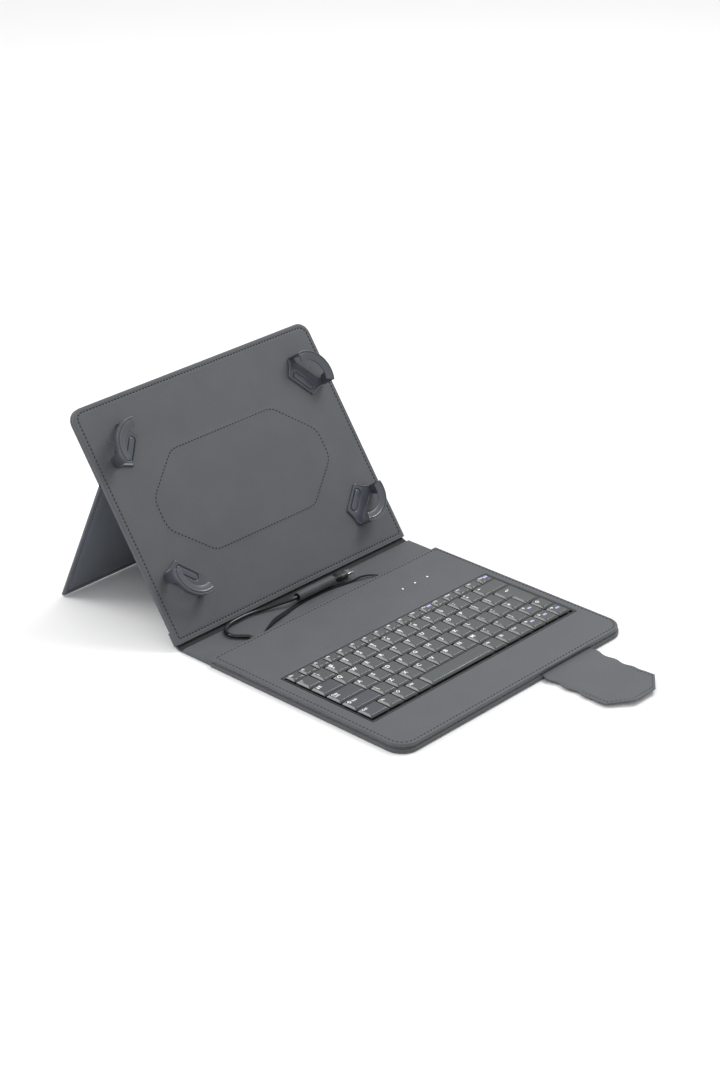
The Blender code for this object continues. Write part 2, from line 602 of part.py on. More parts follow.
def build_plug(start, y, z):
    """Small plug on the lead's end: a moulded grip, a steel shell and an insulating tongue."""
    half_y, half_z = PLUG_GRIP_HALF
    corners = ((-1, -0.5), (-0.75, -1), (0.75, -1), (1, -0.5), (1, 0.5), (0.75, 1), (-0.75, 1), (-1, 0.5))
    grip_end = start + PLUG_GRIP_LENGTH
    grip = side_prism([(y + half_y * c, z + half_z * s) for c, s in corners], (start, grip_end))
    add_piece("plug_grip", grip, "black_plastic")

    half_y, half_z = PLUG_SHELL_HALF
    shell_x = (grip_end + GAP, grip_end + GAP + PLUG_SHELL_LENGTH)
    shell = add_piece("plug_shell", box(shell_x, (y - half_y, y + half_y), (z - half_z, z + half_z)), "steel")
    inner_y, inner_z = half_y - PLUG_SHELL_WALL, half_z - PLUG_SHELL_WALL
    floor = shell_x[0] + 2 * PLUG_SHELL_WALL
    add_boolean(shell, box((floor, shell_x[1] + CUT), (y - inner_y, y + inner_y), (z - inner_z, z + inner_z)))
    tongue_y, tongue_z = inner_y - 2 * GAP, inner_z - GAP
    add_piece("plug_tongue", box((floor + GAP, shell_x[1] - 2 * GAP), (y - tongue_y, y + tongue_y),
                                 (z - tongue_z, z + tongue_z / 2)), "plug_insulator")


def tube_along_x(x_span, centre, outer, bore, sides=16):
    """Open tube along X."""
    bm = bmesh.new()
    rings = []
    for x, radius in ((x_span[0], outer), (x_span[1], outer), (x_span[1], bore), (x_span[0], bore)):
        angles = [math.tau * k / sides for k in range(sides)]
        rings.append([bm.verts.new((x, centre[0] + radius * math.cos(a), centre[1] + radius * math.sin(a)))
                      for a in angles])
    for ring, after in zip(rings, rings[1:] + rings[:1]):
        for k in range(sides):
            following = (k + 1) % sides
            bm.faces.new((ring[k], ring[following], after[following], after[k]))
    return bm


def strap_route():
    """Middle line and width of the elastic strap, from seam to seam and under the sleeve."""
    low = BASE_TOP + GAP
    high = low + GAP
    places = [
        (-0.0690, 0.0010, high, 0.0010), (-0.0600, 0.0045, high + 0.0003, 0.0028),
        (-0.0500, 0.0080, high + 0.0004, 0.0052), (-0.0380, 0.0105, high + 0.0002, 0.0062),
        (-0.0260, 0.0130, low, 0.0056), (-0.0140, 0.0148, low, 0.0050), (0.0000, 0.0155, low, 0.0048),
        (0.0180, 0.0150, low, 0.0048), (0.0320, 0.0122, low, 0.0048), (0.0420, 0.0099, high, 0.0040),
        (0.0500, 0.0083, high + 0.0012, 0.0034), (0.0580, 0.0057, high + 0.0008, 0.0026),
        (0.0640, 0.0014, high, 0.0012),
    ]
    return [Vector((x, FOLD_Y + y, z, width)) for x, y, z, width in places]


def build_strap():
    """Flat elastic strap as one closed ribbon."""
    points = smooth_points(strap_route(), 2)
    bm = bmesh.new()
    sections = []
    for k, point in enumerate(points):
        before, after = points[max(k - 1, 0)], points[min(k + 1, len(points) - 1)]
        along = Vector((after.x - before.x, after.y - before.y, 0.0)).normalized()
        side = Vector((-along.y, along.x, 0.0)) * point.w / 2
        middle, rise = Vector((point.x, point.y, point.z)), Vector((0.0, 0.0, STRAP_THICKNESS))
        sections.append([bm.verts.new(place) for place in
                         (middle - side, middle + side, middle + side + rise, middle - side + rise)])
    for section, after in zip(sections, sections[1:]):
        for k in range(4):
            following = (k + 1) % 4
            bm.faces.new((section[k], section[following], after[following], after[k]))
    bm.faces.new(list(reversed(sections[0])))
    bm.faces.new(sections[-1])
    add_piece("lead_strap", bm, "elastic")


# ---- Holder -----------------------------------------------------------------------------------
# The holder is built in its own frame: X across it, Y up its slope from the fold, Z out of its
# front face. Layers behind the front face have negative Z.
def holder_outline(inset, low=HOLDER_FOOT, high=HOLDER_HEIGHT):
    """Outline of the holder, or of a strip of it, drawn in by an inset."""
    top = HOLDER_CORNER - inset if high == HOLDER_HEIGHT else 0
    x_span = shrink((-HALF_WIDTH, HALF_WIDTH), inset)
    return rounded_outline(x_span, (low + inset, high - inset), (0, 0, top, top))


def slot_outline(clip):
    """Slot that a clip's stem slides in, as a box along the clip's direction."""
    x, y, degrees = CLIPS[clip]
    along = Vector((math.cos(math.radians(degrees)), math.sin(math.radians(degrees))))
    across = Vector((-along.y, along.x))
    centre = Vector((x, y))
    near, far, half = -SLOT_MARGIN, CLIP_TRAVEL + SLOT_MARGIN, SLOT_HALF_WIDTH
    corners = ((near, -half), (far, -half), (far, half), (near, half))
    return [tuple(centre + along * a + across * b) for a, b in corners]


def build_holder():
    """Lining with a raised panel over a board, the back covers, the clips and their elastics."""
    pivot = add_pivot("holder_fold", (0.0, HOLDER_Y, FOLD_HEIGHT), (HOLDER_ANGLE, 0.0, 0.0))
    lining = add_piece("holder_lining", prism(holder_outline(0.0), -LINING_DEPTH, 0.0), "leatherette", pivot)
    add_boolean(lining, prism(holder_outline(HOLDER_RIM), -LINING_DEPTH - CUT, -LINING_SKIN))
    (x0, x1), (y0, y1), (cut_x, cut_y) = PANEL_X, PANEL_Y, PANEL_CUT
    panel = [(x0 + cut_x, y0), (x1 - cut_x, y0), (x1, y0 + cut_y), (x1, y1 - cut_y),
             (x1 - cut_x, y1), (x0 + cut_x, y1), (x0, y1 - cut_y), (x0, y0 + cut_y)]
    add_boolean(lining, prism(panel, -LINING_SKIN / 2, PANEL_RISE), "UNION")
    board = prism(holder_outline(2 * GAP), -BOARD_BACK, -LINING_DEPTH - GAP / 2)
    add_piece("holder_board", board, "board", pivot)
    build_holder_back(pivot)
    for clip in CLIPS:
        add_boolean(lining, prism(slot_outline(clip), -LINING_SKIN - CUT / 2, CUT))
        build_clip(clip, pivot)
    build_elastics(pivot)
    return pivot


def build_holder_back(pivot):
    """Back of the holder: upper cover with the strike plate, lining behind the stand, and lower strip."""
    upper = prism(holder_outline(0.0, STAND_HINGE + HOLDER_FOOT), -HOLDER_BACK, -BACK_FACE)
    upper_piece = add_piece("holder_back_cover", upper, "leatherette", pivot)
    strike_x, strike_bottom = shrink(TAB_X, TAB_ROOT_DEPTH), -BACK_FACE - STRIKE_DEPTH - GAP
    add_boolean(upper_piece, box(strike_x, STRIKE_Y, (strike_bottom, CUT - BACK_FACE)))
    strike = box(shrink(strike_x, GAP), shrink(STRIKE_Y, GAP), (strike_bottom + GAP, -BACK_FACE - GAP / 3))
    add_piece("strike_plate", strike, "steel", pivot)
    strips = (
        ("holder_tail", (STAND_RELIEF, TAIL_HEIGHT), -HOLDER_BACK, "leatherette"),
        ("holder_back_lining", (TAIL_HEIGHT + GAP, STAND_HINGE), -BACK_FACE - BACK_LINING, "leatherette_dark"),
    )
    for name, y_span, back, finish in strips:
        add_piece(name, box((-HALF_WIDTH, HALF_WIDTH), y_span, (back, -BACK_FACE)), finish, pivot)


def clip_arc(radius, half_angle, steps=10):
    """Points of a clip's rounded corner, round a centre that lies on the clip's own axis."""
    angles = [half_angle * (2 * k / steps - 1) for k in range(steps + 1)]
    return [Vector((CLIP_ARC_CENTRE + radius * math.cos(a), radius * math.sin(a))) for a in angles]


def build_clip(clip, pivot):
    """Corner clip: a pad, a curved hook on two posts with a lip over it, and a stem with a foot in the holder."""
    x, y, degrees = CLIPS[clip]
    low, high = CLIP_LIP
    profile = [(0.0, GAP), (0.0, high), (CLIP_LIP_WIDTH, high), (CLIP_LIP_WIDTH, low), (CLIP_WALL, low),
               (CLIP_WALL, CLIP_FLANGE), (CLIP_FLANGE_WIDTH, CLIP_FLANGE), (CLIP_FLANGE_WIDTH, GAP)]
    bm = bmesh.new()
    rings = []
    for depth, height in profile:
        rings.append([bm.verts.new((p.x, p.y, height)) for p in clip_arc(CLIP_ARC - depth, CLIP_HALF_ANGLE)])
    for ring, after in zip(rings, rings[1:] + rings[:1]):
        for k in range(len(ring) - 1):
            bm.faces.new((ring[k], ring[k + 1], after[k + 1], after[k]))
    for end in (0, -1):
        bm.faces.new([ring[end] for ring in rings])
    piece = add_piece(f"clip_{clip}", bm, "clip_plastic", pivot)
    piece.location = (x, y, 0.0)
    piece.rotation_euler = (0.0, 0.0, math.radians(degrees))
    pad = [(u, -v) for u, v in CLIP_PAD_OUTLINE] + [(u, v) for u, v in reversed(CLIP_PAD_OUTLINE)]
    add_boolean(piece, prism(pad, GAP, CLIP_PAD), "UNION")
    near, far, half_width, height = CLIP_WINDOW
    add_boolean(piece, box((near, far), (-half_width, half_width), (-CUT, height)))
    stem_x, stem_y = ((-half, half) for half in STEM_HALF)
    add_boolean(piece, box(stem_x, stem_y, (-STEM_DEPTH, CLIP_PAD / 2)), "UNION")


def build_elastics(pivot):
    """Flat elastic band from each clip's stem to the middle of the holder."""
    top = -LINING_SKIN - SHEET_GAP
    side_x, side_y = ELASTIC_ANCHOR
    for clip, (x, y, _degrees) in CLIPS.items():
        anchor = Vector((math.copysign(side_x, x),
                         ELASTIC_CENTRE_Y + math.copysign(side_y, y - ELASTIC_CENTRE_Y)))
        stem = Vector((x, y))
        along = (stem - anchor).normalized()
        across = Vector((-along.y, along.x)) * ELASTIC_HALF_WIDTH
        end = stem - along * ELASTIC_START
        outline = [tuple(anchor - across), tuple(end - across), tuple(end + across), tuple(anchor + across)]
        add_piece(f"elastic_{clip}", prism(outline, top - ELASTIC_THICKNESS, top), "elastic", pivot)


# ---- Stand ------------------------------------------------------------------------------------
def build_stand(holder):
    """Stand flap that opens out of the holder's back: a board with a leather cover behind it."""
    pivot = add_pivot("stand_fold", (0.0, STAND_HINGE, -HOLDER_BACK), (STAND_OPEN, 0.0, 0.0), holder)
    outline = rounded_outline((-HALF_WIDTH, HALF_WIDTH), (-STAND_LENGTH, -STAND_RELIEF),
                              (STAND_CORNER, STAND_CORNER, 0, 0))
    add_piece("stand_cover", prism(outline, 0.0, STAND_COVER), "leatherette", pivot)
    board = prism(outline, STAND_COVER + SHEET_GAP, STAND_THICKNESS)
    add_piece("stand_board", board, "leatherette_dark", pivot)


# ---- Closure tab ------------------------------------------------------------------------------
def build_tab():
    """Closure tab: a bridge between two creases, and a flap with a magnet and its lining."""
    front = FOLD_Y - KEYBOARD_DEPTH
    first, second, tip = front - TAB_FIRST_CREASE, front - TAB_SECOND_CREASE, front - TAB_REACH
    neck_x = shrink(TAB_X, TAB_NECK)
    bridge = [(first, TAB_ROOT_BOTTOM - GAP), (first, BASE_TOP), (second + GAP, TAB_THICKNESS),
              (second + GAP, TAB_LINING)]
    add_piece("tab_bridge", side_prism(bridge, neck_x), "leatherette")
    x0, x1 = TAB_X
    shoulder = second - TAB_SHOULDER
    outline = [(neck_x[0], second - GAP), (x0, shoulder), (x0, tip + TAB_CORNER), (x0 + TAB_CORNER, tip),
               (x1 - TAB_CORNER, tip), (x1, tip + TAB_CORNER), (x1, shoulder), (neck_x[1], second - GAP)]
    lining_bottom = TAB_THICKNESS - TAB_LINING
    flap = add_piece("tab_flap", prism(outline, 0.0, lining_bottom - SHEET_GAP), "leatherette_dark")
    magnet_x = shrink(TAB_X, TAB_MAGNET_MARGIN)
    magnet_y = (tip + TAB_MAGNET_PLACE[0], tip + TAB_MAGNET_PLACE[1])
    add_boolean(flap, box(magnet_x, magnet_y, (TAB_MAGNET_Z[0] - SHEET_GAP, TAB_THICKNESS)))
    add_piece("tab_magnet", box(shrink(magnet_x, GAP), shrink(magnet_y, GAP), TAB_MAGNET_Z), "magnet")
    add_piece("tab_flap_lining", prism(outline, lining_bottom, TAB_THICKNESS), "leatherette")


def main():
    clear_scene()
    build_base()
    build_tray()
    build_keyboard_module()
    build_keys()
    build_spine()
    build_lead()
    holder = build_holder()
    build_stand(holder)
    build_tab()


if __name__ == "__main__":
    main()
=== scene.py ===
"""Looks of the tablet keyboard case: leatherette, stitching, keys, clips, lead and studio."""

import json
import logging
import math
from collections.abc import Callable, Sequence
from dataclasses import dataclass, field
from enum import Enum

import bmesh
import bpy
import numpy as np
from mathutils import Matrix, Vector


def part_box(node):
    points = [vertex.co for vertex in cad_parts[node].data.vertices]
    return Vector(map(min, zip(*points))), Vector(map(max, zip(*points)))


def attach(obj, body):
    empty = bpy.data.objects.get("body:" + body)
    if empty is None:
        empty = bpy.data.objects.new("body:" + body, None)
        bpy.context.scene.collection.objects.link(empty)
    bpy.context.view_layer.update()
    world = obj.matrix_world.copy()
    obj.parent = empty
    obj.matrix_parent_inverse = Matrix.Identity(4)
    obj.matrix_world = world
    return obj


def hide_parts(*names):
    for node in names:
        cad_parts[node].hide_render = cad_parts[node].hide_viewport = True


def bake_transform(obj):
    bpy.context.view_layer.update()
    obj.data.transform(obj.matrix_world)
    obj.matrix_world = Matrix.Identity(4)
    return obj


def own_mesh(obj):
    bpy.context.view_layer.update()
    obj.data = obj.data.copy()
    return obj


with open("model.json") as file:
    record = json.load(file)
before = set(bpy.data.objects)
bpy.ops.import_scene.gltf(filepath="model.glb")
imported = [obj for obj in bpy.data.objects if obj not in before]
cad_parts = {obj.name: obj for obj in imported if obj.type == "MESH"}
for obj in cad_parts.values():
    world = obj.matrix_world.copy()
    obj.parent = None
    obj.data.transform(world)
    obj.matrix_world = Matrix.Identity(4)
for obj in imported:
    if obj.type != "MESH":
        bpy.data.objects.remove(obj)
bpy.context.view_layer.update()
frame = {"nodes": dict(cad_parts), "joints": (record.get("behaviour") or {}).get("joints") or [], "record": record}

LOG = logging.getLogger("keyboard_case")
MM = 0.001
STAND_OPEN = math.radians(59.9)
Array = np.ndarray
Pair = tuple[float, float]
Colour = tuple[float, float, float]


# ---- Shader maths -----------------------------------------------------------------------------
class Socket:
    """A value inside a material that ordinary arithmetic works on."""

    def __init__(self, sheet: "MaterialSheet", link: bpy.types.NodeSocket) -> None:
        """Wrap one output socket of a material's node."""
        self.sheet = sheet
        self.link = link

    def _math(self, operation: str, first: "Socket | float", second: "Socket | float") -> "Socket":
        """Add one Math node.

        Args:
            operation: The Math node's operation.
            first: Value of the first socket.
            second: Value of the second socket.

        Returns:
            The node's result.
        """
        return self.sheet.node("ShaderNodeMath", {"operation": operation}, {0: first, 1: second})

    def __add__(self, other: "Socket | float") -> "Socket":
        """Sum."""
        return self._math("ADD", self, other)

    __radd__ = __add__

    def __sub__(self, other: "Socket | float") -> "Socket":
        """Difference."""
        return self._math("SUBTRACT", self, other)

    def __rsub__(self, other: float) -> "Socket":
        """Difference from a number."""
        return self._math("SUBTRACT", other, self)

    def __mul__(self, other: "Socket | float") -> "Socket":
        """Product."""
        return self._math("MULTIPLY", self, other)

    __rmul__ = __mul__


class MaterialSheet:
    """Node tree of one material, with its Principled shader and its object coordinates."""

    def __init__(self, name: str) -> None:
        """Start a material.

        Args:
            name: The material's name.
        """
        self.material = bpy.data.materials.new(name)
        self.material.use_nodes = True
        self.shader = self.material.node_tree.nodes["Principled BSDF"]
        self.place = self.node("ShaderNodeTexCoord", {}, {}, "Object")

    def node(self, kind: str, settings: dict, inputs: dict, output: str | int = 0) -> Socket:
        """Add any node.

        Args:
            kind: The node's type.
            settings: Its properties, set first.
            inputs: Values or links of its sockets, by name or number.
            output: Which output to return.

        Returns:
            The chosen output.
        """
        made = self.material.node_tree.nodes.new(kind)
        for key, value in settings.items():
            setattr(made, key, value)
        for key, value in inputs.items():
            self.join(value, made.inputs[key])
        return Socket(self, made.outputs[output])

    def join(self, value: "Socket | float | Sequence[float]", target: bpy.types.NodeSocket) -> None:
        """Link a value to a socket, or set the socket to a constant.

        Args:
            value: A value inside the material, or a constant.
            target: The socket that takes it.
        """
        if isinstance(value, Socket):
            self.material.node_tree.links.new(value.link, target)
        else:
            target.default_value = value

    def set(self, **sockets: "Socket | float | Sequence[float]") -> None:
        """Set the Principled shader's sockets, named with underscores for spaces."""
        for key, value in sockets.items():
            self.join(value, self.shader.inputs[key.replace("_", " ")])

    def noise(self, scale: float, detail: float = 2.0, place: Socket | None = None) -> Socket:
        """Soft noise from 0 to 1, in features per metre."""
        return self.node("ShaderNodeTexNoise", {}, {"Vector": place or self.place, "Scale": scale,
                                                    "Detail": detail}, "Fac")

    def cells(self, scale: float) -> Socket:
        """Soft distance to the nearest of scattered points, in cells per metre."""
        return self.node("ShaderNodeTexVoronoi", {"feature": "SMOOTH_F1"},
                         {"Vector": self.place, "Scale": scale}, "Distance")

    def stretched(self, scale: Sequence[float]) -> Socket:
        """Object coordinates scaled by axis."""
        return self.node("ShaderNodeMapping", {}, {"Vector": self.place, "Scale": scale})

    def blend(self, share: Socket, low: Colour, high: Colour) -> Socket:
        """Colour between two colours."""
        return self.node("ShaderNodeMix", {"data_type": "RGBA"},
                         {0: share, 6: (*low, 1.0), 7: (*high, 1.0)}, 2)

    def bump(self, height: Socket, distance: float, strength: float = 1.0) -> Socket:
        """Normal of a bumpy surface, with its height in units of distance."""
        return self.node("ShaderNodeBump", {},
                         {"Height": height, "Distance": distance, "Strength": strength})


def shade(colour: Colour, factor: float) -> Colour:
    """The same colour, lighter or darker."""
    red, green, blue = (min(part * factor, 1.0) for part in colour)
    return red, green, blue


# ---- Finishes ---------------------------------------------------------------------------------
@dataclass(frozen=True)
class Leatherette:
    """Embossed leatherette: round pebbles with valleys between them, and a soft mottling."""

    slot: str
    colour: Colour
    roughness: float = 0.58
    pebbles: float = 1500.0
    relief: float = 0.07 * MM

    def material(self, name: str) -> bpy.types.Material:
        """Build the material.

        Args:
            name: The material's name.

        Returns:
            The material.
        """
        sheet = MaterialSheet(name)
        pebble = sheet.cells(self.pebbles)
        fine = sheet.noise(self.pebbles * 2.4, 3.0)
        mottle = sheet.noise(38.0, 3.0)
        tone = mottle * 0.55 + (1.0 - pebble) * 0.30 + fine * 0.15
        sheet.set(Base_Color=sheet.blend(tone, shade(self.colour, 0.72), shade(self.colour, 1.30)),
                  Roughness=pebble * 0.10 + mottle * 0.08 + (self.roughness - 0.09),
                  Normal=sheet.bump((1.0 - pebble) + fine * 0.35, self.relief, 0.8),
                  Specular_IOR_Level=0.42, Sheen_Weight=0.10, Sheen_Roughness=0.5)
        return sheet.material


@dataclass(frozen=True)
class Moulded:
    """Moulded plastic or rubber with a fine spark texture and faint wear."""

    slot: str
    colour: Colour
    roughness: float
    coat: float = 0.0
    texture: float = 0.012 * MM
    coarse: float = 2600.0

    def material(self, name: str) -> bpy.types.Material:
        """Build the material.

        Args:
            name: The material's name.

        Returns:
            The material.
        """
        sheet = MaterialSheet(name)
        spark = sheet.noise(self.coarse, 3.0)
        rubbed = sheet.noise(90.0, 4.0)
        sheet.set(Base_Color=sheet.blend(rubbed * 0.7 + spark * 0.3, shade(self.colour, 0.86),
                                         shade(self.colour, 1.14)),
                  Roughness=rubbed * 0.14 + (self.roughness - 0.07),
                  Normal=sheet.bump(spark, self.texture, 0.7),
                  Coat_Weight=self.coat, Coat_Roughness=0.12)
        return sheet.material


@dataclass(frozen=True)
class Metal:
    """Drawn or plated metal with streaks along X."""

    slot: str
    colour: Colour
    roughness: float

    def material(self, name: str) -> bpy.types.Material:
        """Build the material.

        Args:
            name: The material's name.

        Returns:
            The material.
        """
        sheet = MaterialSheet(name)
        streak = sheet.noise(1.0, 3.0, sheet.stretched((160.0, 4200.0, 4200.0)))
        sheet.set(Base_Color=sheet.blend(streak, shade(self.colour, 0.85), shade(self.colour, 1.1)),
                  Roughness=streak * 0.2 + (self.roughness - 0.1), Metallic=1.0,
                  Normal=sheet.bump(streak, 0.004 * MM, 0.6))
        return sheet.material


@dataclass(frozen=True)
class Fibre:
    """Pressed board, thread or other matt stuff made of fibres."""

    slot: str
    colour: Colour
    fibres: float = 900.0
    relief: float = 0.05 * MM

    def material(self, name: str) -> bpy.types.Material:
        """Build the material.

        Args:
            name: The material's name.

        Returns:
            The material.
        """
        sheet = MaterialSheet(name)
        strand = sheet.noise(self.fibres, 4.0, sheet.stretched((1.0, 0.35, 1.0)))
        cloud = sheet.noise(60.0, 2.0)
        sheet.set(Base_Color=sheet.blend(strand * 0.6 + cloud * 0.4, shade(self.colour, 0.7),
                                         shade(self.colour, 1.3)),
                  Roughness=strand * 0.1 + 0.78, Normal=sheet.bump(strand, self.relief, 0.8))
        return sheet.material


@dataclass(frozen=True)
class Webbing:
    """Woven elastic: ribs along the band, crossed by the weft, on the band's own UV map."""

    slot: str
    colour: Colour
    ribs: float = 9.0
    wefts: float = 1200.0

    def material(self, name: str) -> bpy.types.Material:
        """Build the material.

        Args:
            name: The material's name.

        Returns:
            The material.
        """
        sheet = MaterialSheet(name)
        band = sheet.node("ShaderNodeUVMap", {"uv_map": "band"}, {})
        length, across = (sheet.node("ShaderNodeSeparateXYZ", {}, {0: band}, axis) for axis in "XY")
        rib = self._wave(sheet, across * (self.ribs * math.tau))
        weft = self._wave(sheet, length * (self.wefts * math.tau))
        weave = rib * 0.6 + weft * 0.4
        sheet.set(Base_Color=sheet.blend(weave, shade(self.colour, 0.5), shade(self.colour, 1.7)),
                  Roughness=0.82 - weave * 0.12, Normal=sheet.bump(weave, 0.12 * MM, 0.9),
                  Specular_IOR_Level=0.25)
        return sheet.material

    @staticmethod
    def _wave(sheet: MaterialSheet, phase: Socket) -> Socket:
        """Sine of a phase, lifted to 0 to 1."""
        return sheet.node("ShaderNodeMath", {"operation": "SINE"}, {0: phase}) * 0.5 + 0.5


class Finish(Enum):
    """Every finish on the case."""

    OUTER = Leatherette("leatherette", (0.067, 0.0712, 0.080))
    SLEEVE = Leatherette("leatherette", (0.040, 0.042, 0.047))
    # Near-black leather for the strip in the rear crease: painted shade for the dark gap under the holder's foot.
    FOLD = Leatherette("leatherette_dark", (0.010, 0.010, 0.012), 0.70)
    LINING = Leatherette("leatherette_dark", (0.086, 0.097, 0.118), 0.46, 1900.0, 0.05 * MM)
    BOARD = Fibre("board", (0.30, 0.27, 0.22))
    BLACK = Moulded("black_plastic", (0.014, 0.014, 0.016), 0.42)
    KEY = Moulded("key_plastic", (0.030, 0.037, 0.037), 0.29, 0.6)
    WIDE_KEY = Moulded("key_plastic", (0.018, 0.023, 0.033), 0.29, 0.6)
    INK = Moulded("key_plastic", (0.78, 0.80, 0.80), 0.5, 0.0, 0.004 * MM)
    LILAC = Moulded("key_plastic", (0.42, 0.38, 0.66), 0.5, 0.0, 0.004 * MM)
    STEEL = Metal("steel", (0.48, 0.48, 0.50), 0.28)
    FILM = Moulded("membrane", (0.25, 0.28, 0.26), 0.35)
    DOME = Moulded("dome_rubber", (0.020, 0.021, 0.023), 0.7)
    CIRCUIT = Moulded("circuit_board", (0.03, 0.17, 0.08), 0.5)
    LENS = Moulded("clear_lens", (0.86, 0.88, 0.90), 0.16, 0.5, 0.002 * MM)
    CLIP = Moulded("clip_plastic", (0.050, 0.057, 0.070), 0.33, 0.3, 0.006 * MM)
    ELASTIC = Webbing("elastic", (0.006, 0.006, 0.007))
    THREAD = Fibre("leatherette", (0.016, 0.016, 0.018), 4200.0)
    JACKET = Moulded("cable_jacket", (0.004, 0.004, 0.005), 0.20, 0.0, 0.004 * MM)
    INSULATOR = Moulded("plug_insulator", (0.02, 0.02, 0.02), 0.5)
    MAGNET = Metal("magnet", (0.55, 0.55, 0.57), 0.3)


CAD_FINISHES = {
    "leatherette": Finish.OUTER, "leatherette_dark": Finish.LINING, "board": Finish.BOARD,
    "black_plastic": Finish.BLACK, "key_plastic": Finish.KEY, "steel": Finish.STEEL,
    "membrane": Finish.FILM, "dome_rubber": Finish.DOME, "circuit_board": Finish.CIRCUIT,
    "clear_lens": Finish.LENS, "clip_plastic": Finish.CLIP, "elastic": Finish.BLACK,
    "cable_jacket": Finish.JACKET, "plug_insulator": Finish.INSULATOR, "magnet": Finish.MAGNET,
}


# ---- Shapes -----------------------------------------------------------------------------------
@dataclass
class Shape:
    """Points and faces of a piece: rows of four corners, and caps with any number of corners."""

    points: Array
    quads: Array
    caps: list[Array] = field(default_factory=list)
    band: Array | None = None

    @staticmethod
    def join(shapes: Sequence["Shape"]) -> "Shape":
        """Put several shapes into one, with their faces renumbered."""
        starts = np.cumsum([0] + [len(shape.points) for shape in shapes[:-1]])
        quads = [shape.quads.reshape(-1, 4) + start for shape, start in zip(shapes, starts)]
        return Shape(np.concatenate([shape.points for shape in shapes]), np.concatenate(quads),
                     [cap + start for shape, start in zip(shapes, starts) for cap in shape.caps])

    def moved(self, place: Callable[[Array], Array]) -> "Shape":
        """The shape with its points put through a function."""
        return Shape(place(self.points), self.quads, self.caps, self.band)


@dataclass(frozen=True)
class Outline:
    """Closed polygon with rounded corners, counter-clockwise, that can be drawn in evenly."""

    corners: tuple[Pair, ...]
    radii: tuple[float, ...] | float
    arc: int = 6
    counts: tuple[int, ...] | int = 8
    least: float = 0.4 * MM

    def ring(self, inset: float = 0.0) -> Array:
        """Outline at an inset, always with the same number of points.

        Each corner moves in along the sum of its two sides' normals until both sides are inset, and an
        arc that touches both sides replaces it. The sides between the arcs are split evenly.

        Args:
            inset: How far the outline is drawn in.

        Returns:
            Points in order, as rows of x and y.
        """
        corners = np.array(self.corners, float)
        ahead = np.roll(corners, -1, 0) - corners
        ahead /= np.linalg.norm(ahead, axis=1)[:, None]
        back = np.roll(ahead, 1, 0)
        left_back, left_ahead = (np.stack([-d[:, 1], d[:, 0]], 1) for d in (back, ahead))
        share = inset / (1 + (left_back * left_ahead).sum(1))
        spots = corners + (left_back + left_ahead) * share[:, None]
        turn = np.arctan2(back[:, 0] * ahead[:, 1] - back[:, 1] * ahead[:, 0], (back * ahead).sum(1))
        sign = np.where(turn < 0, -1.0, 1.0)
        radius = np.maximum(np.broadcast_to(self.radii, len(corners)) - sign * inset, self.least)
        reach = radius * np.tan(np.abs(turn) / 2)
        out = left_back * (sign * radius)[:, None]
        centre = spots - back * reach[:, None] + out
        angle = turn[:, None] * np.linspace(0, 1, self.arc + 1)
        cos, sin = np.cos(angle)[..., None], np.sin(angle)[..., None]
        quarter = np.stack([-out[:, 1], out[:, 0]], 1)
        arcs = centre[:, None] - out[:, None] * cos - quarter[:, None] * sin
        counts = np.broadcast_to(self.counts, len(corners))
        pieces = []
        for index, count in enumerate(counts):
            start, end = arcs[index, -1], arcs[(index + 1) % len(corners), 0]
            steps = np.linspace(0, 1, count + 1)[1:-1, None]
            pieces += [arcs[index], start + (end - start) * steps]
        return np.concatenate(pieces)


def rectangle(x: Pair, y: Pair, radii: tuple[float, ...] | float, **more: object) -> Outline:
    """Rounded rectangle; the radii start at the front left corner."""
    return Outline(((x[0], y[0]), (x[1], y[0]), (x[1], y[1]), (x[0], y[1])), radii, **more)


def loft(rings: Array, closed: bool = False) -> Shape:
    """Skin between rings with equal numbers of points.

    Args:
        rings: The rings, as rows of points.
        closed: Whether the last ring joins the first. If not, flat caps shut both ends.

    Returns:
        The skin.
    """
    rows, count = rings.shape[:2]
    index = np.arange(rows * count).reshape(rows, count)
    lower = index if closed else index[:-1]
    upper = np.roll(index, -1, 0) if closed else index[1:]
    quads = np.stack([lower, np.roll(lower, -1, 1), np.roll(upper, -1, 1), upper], -1).reshape(-1, 4)
    caps = [] if closed else [index[0][::-1], index[-1]]
    return Shape(rings.reshape(-1, 3), quads, caps)


def raised(ring: Array, height: float | Array) -> Array:
    """A flat ring at a height."""
    return np.column_stack([ring, np.broadcast_to(height, len(ring))])


def steps(level: float, *rows: Pair, inset: float = 0.0) -> list[Pair]:
    """Insets and heights given in millimetres, counted from an inset and a level in metres."""
    return [(inset + inward * MM, level + height * MM) for inward, height in rows]


def slab(outline: Outline, profile: Sequence[Pair]) -> Shape:
    """Flat body: the outline at each inset and height of a profile, from one face to the other."""
    return loft(np.array([raised(outline.ring(inset), height) for inset, height in profile]))


def distances(line: Array) -> Array:
    """How far along a line each of its points is."""
    return np.concatenate([[0], np.cumsum(np.linalg.norm(np.diff(line, axis=0), axis=1))])


def unit_steps(line: Array) -> Array:
    """Direction of a line at each of its points, with length 1."""
    ahead = np.gradient(line, axis=0)
    return ahead / np.linalg.norm(ahead, axis=1)[:, None]


def evenly(ring: Array, count: int) -> Array:
    """The same closed line with points at equal steps, starting where it crosses the +X side.

    Args:
        ring: The line's points.
        count: How many points to return.

    Returns:
        The new points.
    """
    across, up = (ring - ring.mean(0)).T
    line = np.roll(ring, -int(np.argmin(np.abs(np.arctan2(up, across)))), 0)
    line = np.vstack([line, line[:1]])
    lengths = distances(line)
    at = np.linspace(0, lengths[-1], count + 1)[:-1]
    return np.column_stack([np.interp(at, lengths, line[:, axis]) for axis in range(line.shape[1])])


